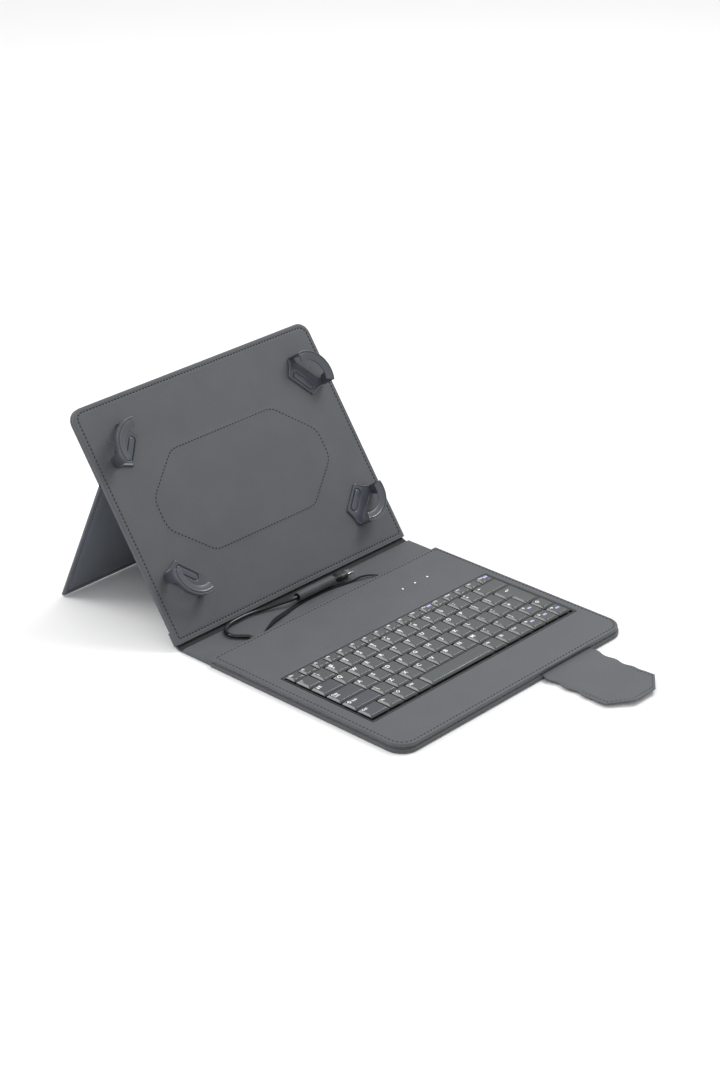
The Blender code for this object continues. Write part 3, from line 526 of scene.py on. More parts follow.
def smooth_route(route: Array, per_span: int) -> Array:
    """Catmull-Rom curve through a route: each span is a cubic that leaves and arrives along its chords.

    Args:
        route: Points that the curve passes.
        per_span: How many points each span gets.

    Returns:
        Points along the curve.
    """
    ends = np.vstack([2 * route[0] - route[1], route, 2 * route[-1] - route[-2]])
    a, b, c, d = (ends[k:len(ends) - 3 + k, None] for k in range(4))
    t = (np.arange(per_span) / per_span)[None, :, None]
    square, cube = 2 * a - 5 * b + 4 * c - d, 3 * b - a - 3 * c + d
    points = 0.5 * (2 * b + (c - a) * t + square * t ** 2 + cube * t ** 3)
    return np.vstack([points.reshape(-1, route.shape[1]), route[-1:]])


def ripple(points: Array, height: float, size: float, phase: float = 0.0) -> Array:
    """Gentle unevenness of leather over board: three crossing sine waves, in metres."""
    x, y = points[:, 0] / size, points[:, 1] / size
    return height / 3 * (np.sin(x + 1.7 * np.sin(y * 0.6 + phase)) + np.sin(y * 1.3 + 0.8 * x + phase * 2)
                         + np.sin(2.1 * x - 1.1 * y + phase * 3))


def tube(centres: Array, side: Array, up: Array, section: Array) -> Shape:
    """Closed skin of a section, given across and up, carried along a line of centres."""
    rings = centres[:, None] + side[:, None] * section[None, :, :1] + up[:, None] * section[None, :, 1:]
    return loft(rings)


@dataclass(frozen=True)
class Seam:
    """Row of thread stitches: pitch, length of the visible stitch, and half its thickness."""

    pitch: float = 3.6 * MM
    stitch: float = 2.5 * MM
    radius: float = 0.33 * MM

    def sew(self, line: Array, up: Sequence[float], closed: bool = True) -> Shape:
        """Stitches along a line.

        Each stitch is a round strand that is bowed: it stands proud in its middle and dives below the
        surface at both ends, as a half cosine along its length.

        Args:
            line: Points along the seam, on the surface.
            up: The surface's normal.
            closed: Whether the line runs back to its start.

        Returns:
            All the stitches in one shape.
        """
        path = np.vstack([line, line[:1]]) if closed else line
        lengths = distances(path)
        count = max(int(round(lengths[-1] / self.pitch)), 2)
        middle = (np.arange(count) + 0.5) * lengths[-1] / count

        def along(at: Array) -> Array:
            """Points at these distances along the line."""
            return np.column_stack([np.interp(at, lengths, path[:, axis]) for axis in range(3)])

        centre = along(middle)
        ahead = along(middle + self.stitch / 3) - along(middle - self.stitch / 3)
        ahead /= np.linalg.norm(ahead, axis=1)[:, None]
        normal = np.array(up, float)
        side = np.cross(normal, ahead)
        u = np.linspace(-1, 1, 6)
        around = np.arange(6) * math.tau / 6
        thick = self.radius * np.sqrt(1.04 - u ** 2 * 0.75)
        bow = self.radius * (1.5 * np.cos(u * math.pi / 2) - 1.0)
        reach = (u * self.stitch / 2)[:, None] + 0 * around
        wide = thick[:, None] * np.cos(around)
        high = bow[:, None] + thick[:, None] * np.sin(around)
        points = (centre[:, None, None] + ahead[:, None, None] * reach[None, ..., None]
                  + side[:, None, None] * wide[None, ..., None] + normal * high[None, ..., None])
        one = loft(points[0])
        starts = np.arange(count)[:, None, None] * len(one.points)
        return Shape(points.reshape(-1, 3), (one.quads[None] + starts).reshape(-1, 4),
                     [cap + start for start in starts.ravel() for cap in one.caps])


def make_piece(name: str, shape: Shape, finish: Finish, body: str | None,
               replaces: Sequence[str] = (), sharp: float = 42.0) -> bpy.types.Object:
    """Put a shape into the scene as a finished piece.

    Args:
        name: The piece's name.
        shape: Its points and faces.
        finish: What it is made of.
        body: The body that it moves with, or None for a piece attached to no body.
        replaces: The nodes of the frame that it stands for.
        sharp: Edges that turn by more than this many degrees stay sharp.

    Returns:
        The new object.
    """
    mesh = bpy.data.meshes.new(name)
    caps = [cap.tolist() for cap in shape.caps]
    mesh.from_pydata(shape.points.tolist(), [], shape.quads.tolist() + caps)
    if shape.band is not None:
        layer = mesh.uv_layers.new(name="band")
        corner = np.zeros(len(mesh.loops), int)
        mesh.loops.foreach_get("vertex_index", corner)
        layer.data.foreach_set("uv", shape.band[corner].astype(np.float32).ravel())
    work = bmesh.new()
    work.from_mesh(mesh)
    bmesh.ops.recalc_face_normals(work, faces=work.faces)
    work.to_mesh(mesh)
    work.free()
    mesh.shade_smooth()
    mesh.set_sharp_from_angle(angle=math.radians(sharp))
    mesh.materials.append(finish.value.material(name))
    piece = bpy.data.objects.new(name, mesh)
    bpy.context.scene.collection.objects.link(piece)
    if body:
        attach(piece, body)
    if replaces:
        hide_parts(*replaces)
    LOG.info("%s: %d faces, %s", name, len(mesh.polygons), body or "between two bodies")
    return piece


# ---- Places -----------------------------------------------------------------------------------
@dataclass(frozen=True)
class Plane:
    """A leaning plane that turns about X: across it, up it, and out of its face."""

    y: float
    z: float
    angle: float

    def lift(self, points: Array) -> Array:
        """Points of the plane in the frame: the last two coordinates turn by the plane's angle.

        Args:
            points: Rows of across, up and out.

        Returns:
            Rows of x, y and z.
        """
        cos, sin = math.cos(self.angle), math.sin(self.angle)
        x, up, out = points.T
        return np.column_stack([x, self.y + up * cos - out * sin, self.z + up * sin + out * cos])

    @property
    def normal(self) -> tuple[float, float, float]:
        """Direction out of the plane's face."""
        return 0.0, -math.sin(self.angle), math.cos(self.angle)


@dataclass(frozen=True)
class Places:
    """Where the frame says that the case's folds and faces are."""

    half_width: float
    fold: float
    front: float
    holder: Plane
    stand: Plane

    @staticmethod
    def read(stand_open: float) -> "Places":
        """Read the places from the joints, the mounts and the nodes' boxes.

        Args:
            stand_open: Angle between the stand and the holder.

        Returns:
            The places.
        """
        joints = {joint["name"]: joint for joint in frame["joints"]}
        seat = next(m for m in frame["record"]["mounts"] if m["name"] == "tablet_seat")["axis"]
        slope = math.atan2(-seat[1], seat[2])
        fold, holder, stand = (joints[name]["pos_m"]
                               for name in ("spine_fold", "holder_fold", "stand_fold"))
        low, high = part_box("base_cover")
        return Places(high.x, fold[1], low.y, Plane(holder[1], holder[2], slope),
                      Plane(stand[1], stand[2], slope + stand_open))


# ---- Keyboard half ----------------------------------------------------------------------------
@dataclass(frozen=True)
class KeyboardHalf:
    """Two leather layers round the keyboard, their stitching, the lights and the lead's boot."""

    places: Places
    front_radius: float = 16 * MM
    tray_top: float = 7.6 * MM
    tray_inset: float = 0.8 * MM
    fold_gap: float = 1.6 * MM
    seam_inset: float = 4.0 * MM
    counts: tuple[int, ...] = (60, 44, 60, 44)
    light_radius: float = 1.05 * MM
    light_spread: float = 15.0 * MM

    def build(self) -> None:
        """Build every piece of the keyboard half."""
        self.base()
        self.tray()
        self.lights()
        self.boot()

    def outline(self, inset: float, rear: float) -> Outline:
        """Outline of a layer, with round front corners."""
        half, place, radius = self.places.half_width - inset, self.places, self.front_radius - inset
        return rectangle((-half, half), (place.front + inset, place.fold - rear),
                         (radius, radius, 0.9 * MM, 0.9 * MM), arc=9, counts=self.counts)

    def base(self) -> None:
        """Lower layer: its edge shows the meeting line of the outer sheet and the lining."""
        profile = steps(0.0, (0.9, 0.0), (0.25, 0.12), (0.0, 0.7), (0.0, 1.7), (0.28, 1.95),
                        (0.02, 2.2), (0.0, 2.8), (0.22, 3.25), (0.9, 3.5), (2.4, 3.6), (3.0, 4.0))
        make_piece("base_layer", slab(self.outline(0.0, self.fold_gap), profile), Finish.OUTER,
                   "keyboard_half", ("base_cover",))

    def tray(self) -> None:
        """Upper layer, a closed frame: up its outer edge, over its face and down into the window."""
        outer = self.outline(self.tray_inset, self.fold_gap)
        low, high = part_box("keyboard_bezel")
        window = rectangle((low.x - 0.3 * MM, high.x + 0.3 * MM), (low.y - 0.3 * MM, high.y + 0.3 * MM),
                           0.8 * MM, arc=9, counts=self.counts)
        bottom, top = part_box("tray_cover")[0].z, self.tray_top
        groove = self.seam_inset - self.tray_inset
        edge = steps(bottom, (1.9, 0.0), (1.0, 0.15), (0.25, 0.5), (0.0, 1.2))
        edge += steps(top, (0.0, -1.2), (0.2, -0.55), (0.65, -0.16), (1.3, 0.0))
        edge += steps(top, (-1.0, 0.04), (-0.4, -0.10), (0.0, -0.20), (0.4, -0.10), (1.0, 0.05),
                      inset=groove)
        rings = [raised(outer.ring(inset), height) for inset, height in edge]
        start, end = outer.ring(groove + 2.0 * MM), window.ring(-1.6 * MM)
        for share in np.linspace(0, 1, 16):
            rings.append(raised(start + (end - start) * share, top))
        mouth = steps(top, (-0.9, -0.06), (-0.35, -0.3), (-0.05, -0.9), (0.0, -1.6)) + [(0.0, bottom)]
        rings += [raised(window.ring(inset), height) for inset, height in mouth]
        shape = loft(np.array(rings), closed=True)
        face = shape.points[:, 2] > top - 0.02 * MM
        swell = np.minimum(ripple(shape.points, 0.16 * MM, 17 * MM), 0.12 * MM)
        shape.points[face, 2] += swell[face]
        make_piece("tray_layer", shape, Finish.OUTER, "keyboard_half", ("tray_cover",))
        seam = raised(outer.ring(groove), top - 0.10 * MM)
        make_piece("tray_stitching", Seam().sew(seam, (0, 0, 1)), Finish.THREAD, "keyboard_half")

    def lights(self) -> None:
        """Three lenses, each a low dome in a black collar."""
        low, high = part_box("indicator_light_pipe")
        middle = (low + high) / 2
        around = np.arange(24) * math.tau / 24
        circle = np.column_stack([np.cos(around), np.sin(around)]) * self.light_radius
        rise = np.linspace(0, math.pi / 2 - 0.1, 6)
        dome = [(1.0, -0.8)] + [(math.cos(angle), 0.42 * math.sin(angle)) for angle in rise]
        wall = [(1.0, -0.6), (1.32, -0.6), (1.32, 0.05), (1.2, 0.12), (1.06, 0.10), (1.0, 0.02)]
        domes, collars = [], []
        for step in (-1, 0, 1):
            centre = np.array([middle.x + step * self.light_spread, middle.y])
            for shapes, rows, closed in ((domes, dome, False), (collars, wall, True)):
                shapes.append(loft(np.array([raised(centre + circle * scale, self.tray_top + up * MM)
                                             for scale, up in rows]), closed))
        make_piece("indicator_lenses", Shape.join(domes), Finish.LENS, "keyboard_half",
                   ("indicator_light_pipe",))
        make_piece("indicator_collars", Shape.join(collars), Finish.BLACK, "keyboard_half")

    def boot(self) -> None:
        """Short rubber boot where the lead leaves the tray."""
        low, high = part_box("lead_grommet")
        centre_x, centre_z = (low.x + high.x) / 2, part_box("usb_lead")[0].z + Lead.diameter / 2
        stations = ((-4.0, 2.9, 1.05), (-1.9, 2.9, 1.05), (-1.5, 2.3, 1.35), (-1.2, 2.9, 1.35),
                    (-0.4, 2.6, 1.55), (0.0, 2.0, 1.62), (0.6, 1.85, 1.68), (1.2, 1.72, 1.66),
                    (1.5, 1.62, 1.62))
        around = np.arange(20) * math.tau / 20
        rings = [np.column_stack([centre_x + wide * MM * np.cos(around),
                                  np.full(20, self.places.fold + y * MM),
                                  centre_z + tall * MM * np.sin(around)]) for y, wide, tall in stations]
        boot = make_piece("lead_boot", loft(np.array(rings)), Finish.BLACK, "keyboard_half",
                          ("lead_grommet",))
        self.places.fold - 1.7 * MM
        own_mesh(boot)


# ---- Keys -------------------------------------------------------------------------------------
class Mark(Enum):
    """Printed signs that aren't letters, as strokes between points of a unit square."""

    LEFT = (((0.0, 0.5), (1.0, 0.5)), ((0.0, 0.5), (0.4, 0.85)), ((0.0, 0.5), (0.4, 0.15)))
    RIGHT = (((0.0, 0.5), (1.0, 0.5)), ((1.0, 0.5), (0.6, 0.85)), ((1.0, 0.5), (0.6, 0.15)))
    UP = (((0.5, 0.0), (0.5, 1.0)), ((0.5, 1.0), (0.15, 0.6)), ((0.5, 1.0), (0.85, 0.6)))
    DOWN = (((0.5, 0.0), (0.5, 1.0)), ((0.5, 0.0), (0.15, 0.4)), ((0.5, 0.0), (0.85, 0.4)))
    TAB = (((0.0, 0.75), (1.4, 0.75)), ((1.4, 0.75), (1.1, 1.0)), ((1.4, 0.75), (1.1, 0.5)),
           ((1.4, 0.2), (0.0, 0.2)), ((0.0, 0.2), (0.3, 0.45)), ((0.0, 0.2), (0.3, -0.05)))
    ENTER = (((1.2, 1.0), (1.2, 0.4)), ((1.2, 0.4), (0.0, 0.4)), ((0.0, 0.4), (0.35, 0.7)),
             ((0.0, 0.4), (0.35, 0.1)))
    SHIFT = (((0.5, 1.0), (0.0, 0.5)), ((0.5, 1.0), (1.0, 0.5)), ((0.0, 0.5), (0.3, 0.5)),
             ((1.0, 0.5), (0.7, 0.5)), ((0.3, 0.5), (0.3, 0.05)), ((0.7, 0.5), (0.7, 0.05)),
             ((0.3, 0.05), (0.7, 0.05)))
    MENU = (((0.0, 0.9), (1.0, 0.9)), ((0.0, 0.5), (1.0, 0.5)), ((0.0, 0.1), (1.0, 0.1)))
    DIAMOND = (((0.5, 1.0), (0.0, 0.5)), ((0.0, 0.5), (0.5, 0.0)), ((0.5, 0.0), (1.0, 0.5)),
               ((1.0, 0.5), (0.5, 1.0)))


@dataclass(frozen=True)
class Legend:
    """One printed sign on a cap: its text or mark, or None for a plain block, its height, and its
    place from the cap's top left."""

    sign: str | Mark | None
    height: float = 3.5 * MM
    right: float = 1.9 * MM
    down: float = 5.4 * MM
    finish: Finish = Finish.INK


@dataclass(frozen=True)
class KeyRun:
    """Neighbouring caps that share a node, with their legends from left to right."""

    node: str
    legends: tuple[tuple[Legend, ...], ...]
    finish: Finish = Finish.KEY


def letters(text: str) -> tuple[tuple[Legend, ...], ...]:
    """One large letter for each cap."""
    return tuple((Legend(sign),) for sign in text)


def pairs(lower: str, upper: str) -> tuple[tuple[Legend, ...], ...]:
    """A sign over another for each cap, as on the number row."""
    return tuple((Legend(low, 2.9 * MM, 2.0 * MM, 7.4 * MM), Legend(high, 2.6 * MM, 2.0 * MM, 3.9 * MM))
                 for low, high in zip(lower, upper))


def words(*texts: str, height: float = 1.7 * MM,
          down: float = 3.6 * MM) -> tuple[tuple[Legend, ...], ...]:
    """A small word for each cap."""
    return tuple((Legend(text, height, 1.7 * MM, down),) for text in texts)


def arrow(mark: Mark) -> tuple[tuple[Legend, ...], ...]:
    """An arrow with a small block in the second colour, for one cap."""
    return ((Legend(mark, 2.6 * MM, 2.2 * MM, 4.6 * MM),
             Legend(None, 3.6 * MM, 5.6 * MM, 7.0 * MM, Finish.LILAC)),)


FUNCTION_WORDS = tuple(f"F{number}" for number in range(1, 13)) + ("Num", "Prt", "Ins", "Del")
SECOND_FUNCTION = (Legend(None, 4.2 * MM, 6.2 * MM, 4.6 * MM, Finish.LILAC),)
FUNCTION_LEGENDS = tuple(
    row + (SECOND_FUNCTION if number in (10, 15) else ())
    for number, row in enumerate(words(*FUNCTION_WORDS, height=1.9 * MM, down=3.3 * MM)))
KEY_RUNS = (
    KeyRun("escape_key", words("Esc", height=1.9 * MM, down=3.3 * MM)),
    KeyRun("function_keys", FUNCTION_LEGENDS),
    KeyRun("number_keys", pairs("`1234567890-=", "~!@#$%^&*()_+")),
    KeyRun("backspace_key", ((Legend(Mark.LEFT, 2.4 * MM, 3.4 * MM, 4.8 * MM),),)),
    KeyRun("tab_key", ((Legend(Mark.TAB, 3.0 * MM, 3.0 * MM, 5.0 * MM),),), Finish.WIDE_KEY),
    KeyRun("letter_keys_upper", letters("QWERTYUIOP") + pairs("[]", "{}")),
    KeyRun("enter_key", ((Legend(Mark.ENTER, 3.0 * MM, 8.4 * MM, 7.0 * MM),),)),
    KeyRun("caps_lock_key", ((Legend("Caps", 2.0 * MM, 2.4 * MM, 4.4 * MM),
                              Legend("Lock", 2.0 * MM, 2.4 * MM, 7.2 * MM)),), Finish.WIDE_KEY),
    KeyRun("letter_keys_middle", letters("ASDFGHJKL") + pairs(";'#", ":\"~")),
    KeyRun("left_shift_key", ((Legend(Mark.SHIFT, 3.2 * MM, 2.6 * MM, 5.6 * MM),
                               Legend("Shift", 2.0 * MM, 7.0 * MM, 5.2 * MM)),), Finish.WIDE_KEY),
    KeyRun("letter_keys_lower", pairs("\\", "|") + letters("ZXCVBNM") + pairs(",./", "<>?")),
    KeyRun("up_arrow_key", arrow(Mark.UP)),
    KeyRun("right_shift_key", ((Legend(Mark.SHIFT, 3.2 * MM, 2.6 * MM, 5.6 * MM),),)),
    KeyRun("control_key", words("Ctrl", height=2.2 * MM, down=4.6 * MM), Finish.WIDE_KEY),
    KeyRun("modifier_keys", words("Fn", height=2.2 * MM, down=4.6 * MM)
           + ((Legend(Mark.DIAMOND, 3.0 * MM, 2.6 * MM, 5.2 * MM),),)
           + words("Alt", height=2.2 * MM, down=4.6 * MM)),
    KeyRun("space_bar", ((),)),
    KeyRun("menu_keys", words("Alt", height=2.2 * MM, down=4.6 * MM)
           + ((Legend(Mark.MENU, 2.6 * MM, 2.6 * MM, 5.0 * MM),),)
           + words("Ctrl", height=2.0 * MM, down=4.4 * MM)),
    KeyRun("left_arrow_key", arrow(Mark.LEFT)),
    KeyRun("down_arrow_key", arrow(Mark.DOWN)),
    KeyRun("right_arrow_key", arrow(Mark.RIGHT)),
)


@dataclass(frozen=True)
class KeyDeck:
    """The bezel, the caps with their sloping sides and dished tops, and the printed legends."""

    gap: float = 1.0 * MM
    slope: tuple[float, float, float] = (1.7 * MM, 1.8 * MM, 0.7 * MM)
    dish: float = 0.09 * MM
    ink: float = 0.03 * MM
    stroke: float = 0.55 * MM

    def build(self) -> None:
        """Build the bezel and every run of caps."""
        self.bezel()
        for run in KEY_RUNS:
            self.run(run)

    def bezel(self) -> None:
        """Black frame round the keys with a rounded lip, and the floor between the keys."""
        low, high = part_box("keyboard_bezel")
        outline = rectangle((low.x, high.x), (low.y, high.y), 0.8 * MM, arc=6,
                            counts=(20, 10, 20, 10))
        profile = [(0.0, low.z)]
        profile += steps(high.z, (0.0, -0.5), (0.12, -0.12), (0.5, 0.0), (1.1, -0.02),
                         (1.5, -0.3), (1.6, -0.9))
        profile += [(1.6 * MM, low.z)]
        rings = np.array([raised(outline.ring(inset), height) for inset, height in profile])
        make_piece("bezel_frame", loft(rings, closed=True), Finish.BLACK, "keyboard_half",
                   ("keyboard_bezel",))

    def run(self, run: KeyRun) -> None:
        """Caps of one node, and what is printed on them.

        Args:
            run: The node and its caps.
        """
        low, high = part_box(run.node)
        pitch = (high.x - low.x + self.gap) / len(run.legends)
        caps: list[Shape] = []
        prints: dict[Finish, list[Shape]] = {}
        for number, legends in enumerate(run.legends):
            left = low.x + number * pitch
            right = left + pitch - self.gap
            if run.node == "enter_key":
                caps.append(self.enter_cap(low, high))
            else:
                caps.append(self.cap((left, right), (low.y, high.y), low.z, high.z,
                                     run.node == "space_bar"))
            for legend in legends:
                spot = np.array([left + legend.right, high.y - legend.down, high.z])
                middle = np.array([(left + right) / 2, (low.y + high.y) / 2])
                half = np.array([right - left, high.y - low.y]) / 2
                sign = self.print_sign(legend, spot, middle, half)
                prints.setdefault(legend.finish, []).append(sign)
        body = f"{run.node}_body"
        make_piece(f"{run.node}_caps", Shape.join(caps), run.finish, body, (run.node,), 30.0)
        for finish, shapes in prints.items():
            make_piece(f"{run.node}_{finish.name.lower()}", Shape.join(shapes), finish, body)

    def dished(self, points: Array, middle: Array, half: Array) -> Array:
        """Depth of the dish: deepest in the middle of the cap and nothing at its edges."""
        share = np.clip(1 - ((points[:, :2] - middle) / half) ** 2, 0, 1)
        return self.dish * share[:, 0] * share[:, 1]

    def cap(self, x: Pair, y: Pair, bottom: float, top: float, ridge: bool) -> Shape:
        """Cap: a foot, four sloping sides that are soft at the top, and a dished face.

        Args:
            x: Its left and right sides.
            y: Its front and rear sides.
            bottom: Height of its foot.
            top: Height of its face.
            ridge: Whether a ridge runs along its front edge.

        Returns:
            The cap.
        """
        side, front, rear = self.slope
        counts = (max(3, int((x[1] - x[0]) / (3 * MM))), 4) * 2
        foot = rectangle(x, y, 0.5 * MM, arc=3, counts=counts, least=0.3 * MM)
        face = rectangle((x[0] + side, x[1] - side), (y[0] + front, y[1] - rear), 1.0 * MM, arc=3,
                         counts=counts, least=0.3 * MM)
        start, end = foot.ring(0.0), face.ring(0.0)
        rings = [raised(start, bottom), raised(start, bottom + 0.25 * MM)]
        for share, rise in ((0.12, 0.36), (0.82, 0.80), (0.95, 0.94)):
            rings.append(raised(start + (end - start) * share, bottom + (top - bottom) * rise))
        rings += [raised(face.ring(inset * MM), top) for inset in (0.1, 0.5, 1.4, 2.4)]
        shape = loft(np.array(rings))
        middle, half = np.array([sum(x), sum(y)]) / 2, np.array([x[1] - x[0], y[1] - y[0]]) / 2
        on_face = shape.points[:, 2] >= top - 1e-6
        shape.points[on_face, 2] -= self.dished(shape.points, middle, half)[on_face]
        if not ridge:
            return shape
        long = rectangle((x[0] + side, x[1] - side), (y[0] + front, y[0] + front + 1.3 * MM),
                         0.4 * MM, arc=3, counts=(20, 2, 20, 2), least=0.2 * MM)
        lip = slab(long, steps(top, (0.0, -0.6), (0.05, -0.05), (0.35, 0.06)))
        return Shape.join([shape, lip])

    def enter_cap(self, low: Vector, high: Vector) -> Shape:
        """The L-shaped cap, whose two rows start at the ends of the rows beside them.

        Args:
            low: Lowest corner of the cap.
            high: Highest corner of the cap.

        Returns:
            The cap.
        """
        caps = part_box("letter_keys_upper")[1].x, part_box("letter_keys_middle")[1].x
        row_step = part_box("letter_keys_upper")[0].y
        upper_left, lower_left = caps[0] + self.gap, caps[1] + self.gap
        corners = ((lower_left, low.y), (high.x, low.y), (high.x, high.y), (upper_left, high.y),
                   (upper_left, row_step), (lower_left, row_step))
        side, front, rear = self.slope
        tops = ((lower_left + side, low.y + front), (high.x - side, low.y + front),
                (high.x - side, high.y - rear), (upper_left + side, high.y - rear),
                (upper_left + side, row_step + front), (lower_left + side, row_step + front))
        foot = Outline(corners, 0.5 * MM, 3, 4, 0.3 * MM)
        face = Outline(tops, 0.8 * MM, 3, 4, 0.3 * MM)
        start, end = foot.ring(0.0), face.ring(0.0)
        height = high.z - low.z
        rings = [raised(start + (end - start) * share, low.z + height * rise)
                 for share, rise in ((0, 0), (0, 0.14), (0.12, 0.36), (0.82, 0.80), (0.95, 0.94))]
        rings += [raised(face.ring(inset), high.z - sink) for inset, sink in
                  ((0.1 * MM, 0.0), (0.5 * MM, 0.02 * MM), (1.2 * MM, 0.05 * MM))]
        return loft(np.array(rings))

    def print_sign(self, legend: Legend, spot: Array, middle: Array, half: Array) -> Shape:
        """Thin printed sign that follows the cap's dish.

        Args:
            legend: The sign.
            spot: Place of its lower left corner.
            middle: Middle of the cap.
            half: Half the cap's sizes.

        Returns:
            The sign as a thin solid.
        """
        if legend.sign is None:
            block = rectangle((0, 1.15 * legend.height), (0, 0.55 * legend.height), 0.15 * MM,
                              arc=2, counts=1, least=0.1 * MM)
            flat = slab(block, [(0.0, -self.ink), (0.0, self.ink)])
        elif isinstance(legend.sign, Mark):
            flat = self.strokes(legend.sign, legend.height)
        else:
            flat = lettering(legend.sign, legend.height, self.ink)
        points = flat.points + spot
        points[:, 2] -= self.dished(points, middle, half) - 0.5 * self.ink
        return Shape(points, flat.quads, flat.caps)

    def strokes(self, mark: Mark, height: float) -> Shape:
        """Bars of one width along a mark's strokes.

        Args:
            mark: The mark.
            height: Its height.

        Returns:
            The bars, each a hair above the last so that no two faces share a plane.
        """
        bars = []
        for number, (start, end) in enumerate(mark.value):
            a, b = np.array(start) * height, np.array(end) * height
            along = (b - a) / np.linalg.norm(b - a) * self.stroke / 2
            across = np.array([-along[1], along[0]])
            corners = np.array([a - along - across, b + along - across, b + along + across,
                                a - along + across])
            lift = number * 0.003 * MM
            faces = [raised(corners, lift + step) for step in (-self.ink, self.ink)]
            bars.append(loft(np.array(faces)))
        return Shape.join(bars)


def lettering(text: str, height: float, thickness: float) -> Shape:
    """Text as a thin solid: its flat faces are extruded down, and the solid is shut all round.

    Args:
        text: The letters.
        height: Height of a capital letter.
        thickness: Half the solid's thickness.

    Returns:
        The solid, with its lower left corner at the origin.
    """
    curve = bpy.data.curves.new("lettering", "FONT")
    curve.body, curve.size, curve.resolution_u = text, height / 0.7, 3
    curve.offset = 0.035 * height
    holder = bpy.data.objects.new("lettering", curve)
    bpy.context.scene.collection.objects.link(holder)
    evaluated = holder.evaluated_get(bpy.context.evaluated_depsgraph_get())
    flat = bpy.data.meshes.new_from_object(evaluated)
    work = bmesh.new()
    work.from_mesh(flat)
    bmesh.ops.remove_doubles(work, verts=work.verts, dist=1e-6)
    bmesh.ops.translate(work, verts=work.verts, vec=(0, 0, thickness))
    copied = bmesh.ops.extrude_face_region(work, geom=list(work.faces), use_keep_orig=True)["geom"]
    lower = [item for item in copied if isinstance(item, bmesh.types.BMVert)]
    bmesh.ops.translate(work, verts=lower, vec=(0, 0, -2 * thickness))
    work.verts.index_update()
    points = np.array([vert.co for vert in work.verts], float)
    caps = [np.array([vert.index for vert in face.verts]) for face in work.faces]
    work.free()
    bpy.data.objects.remove(holder, do_unlink=True)
    bpy.data.curves.remove(curve)
    bpy.data.meshes.remove(flat)
    return Shape(points, np.zeros((0, 4), int), caps)


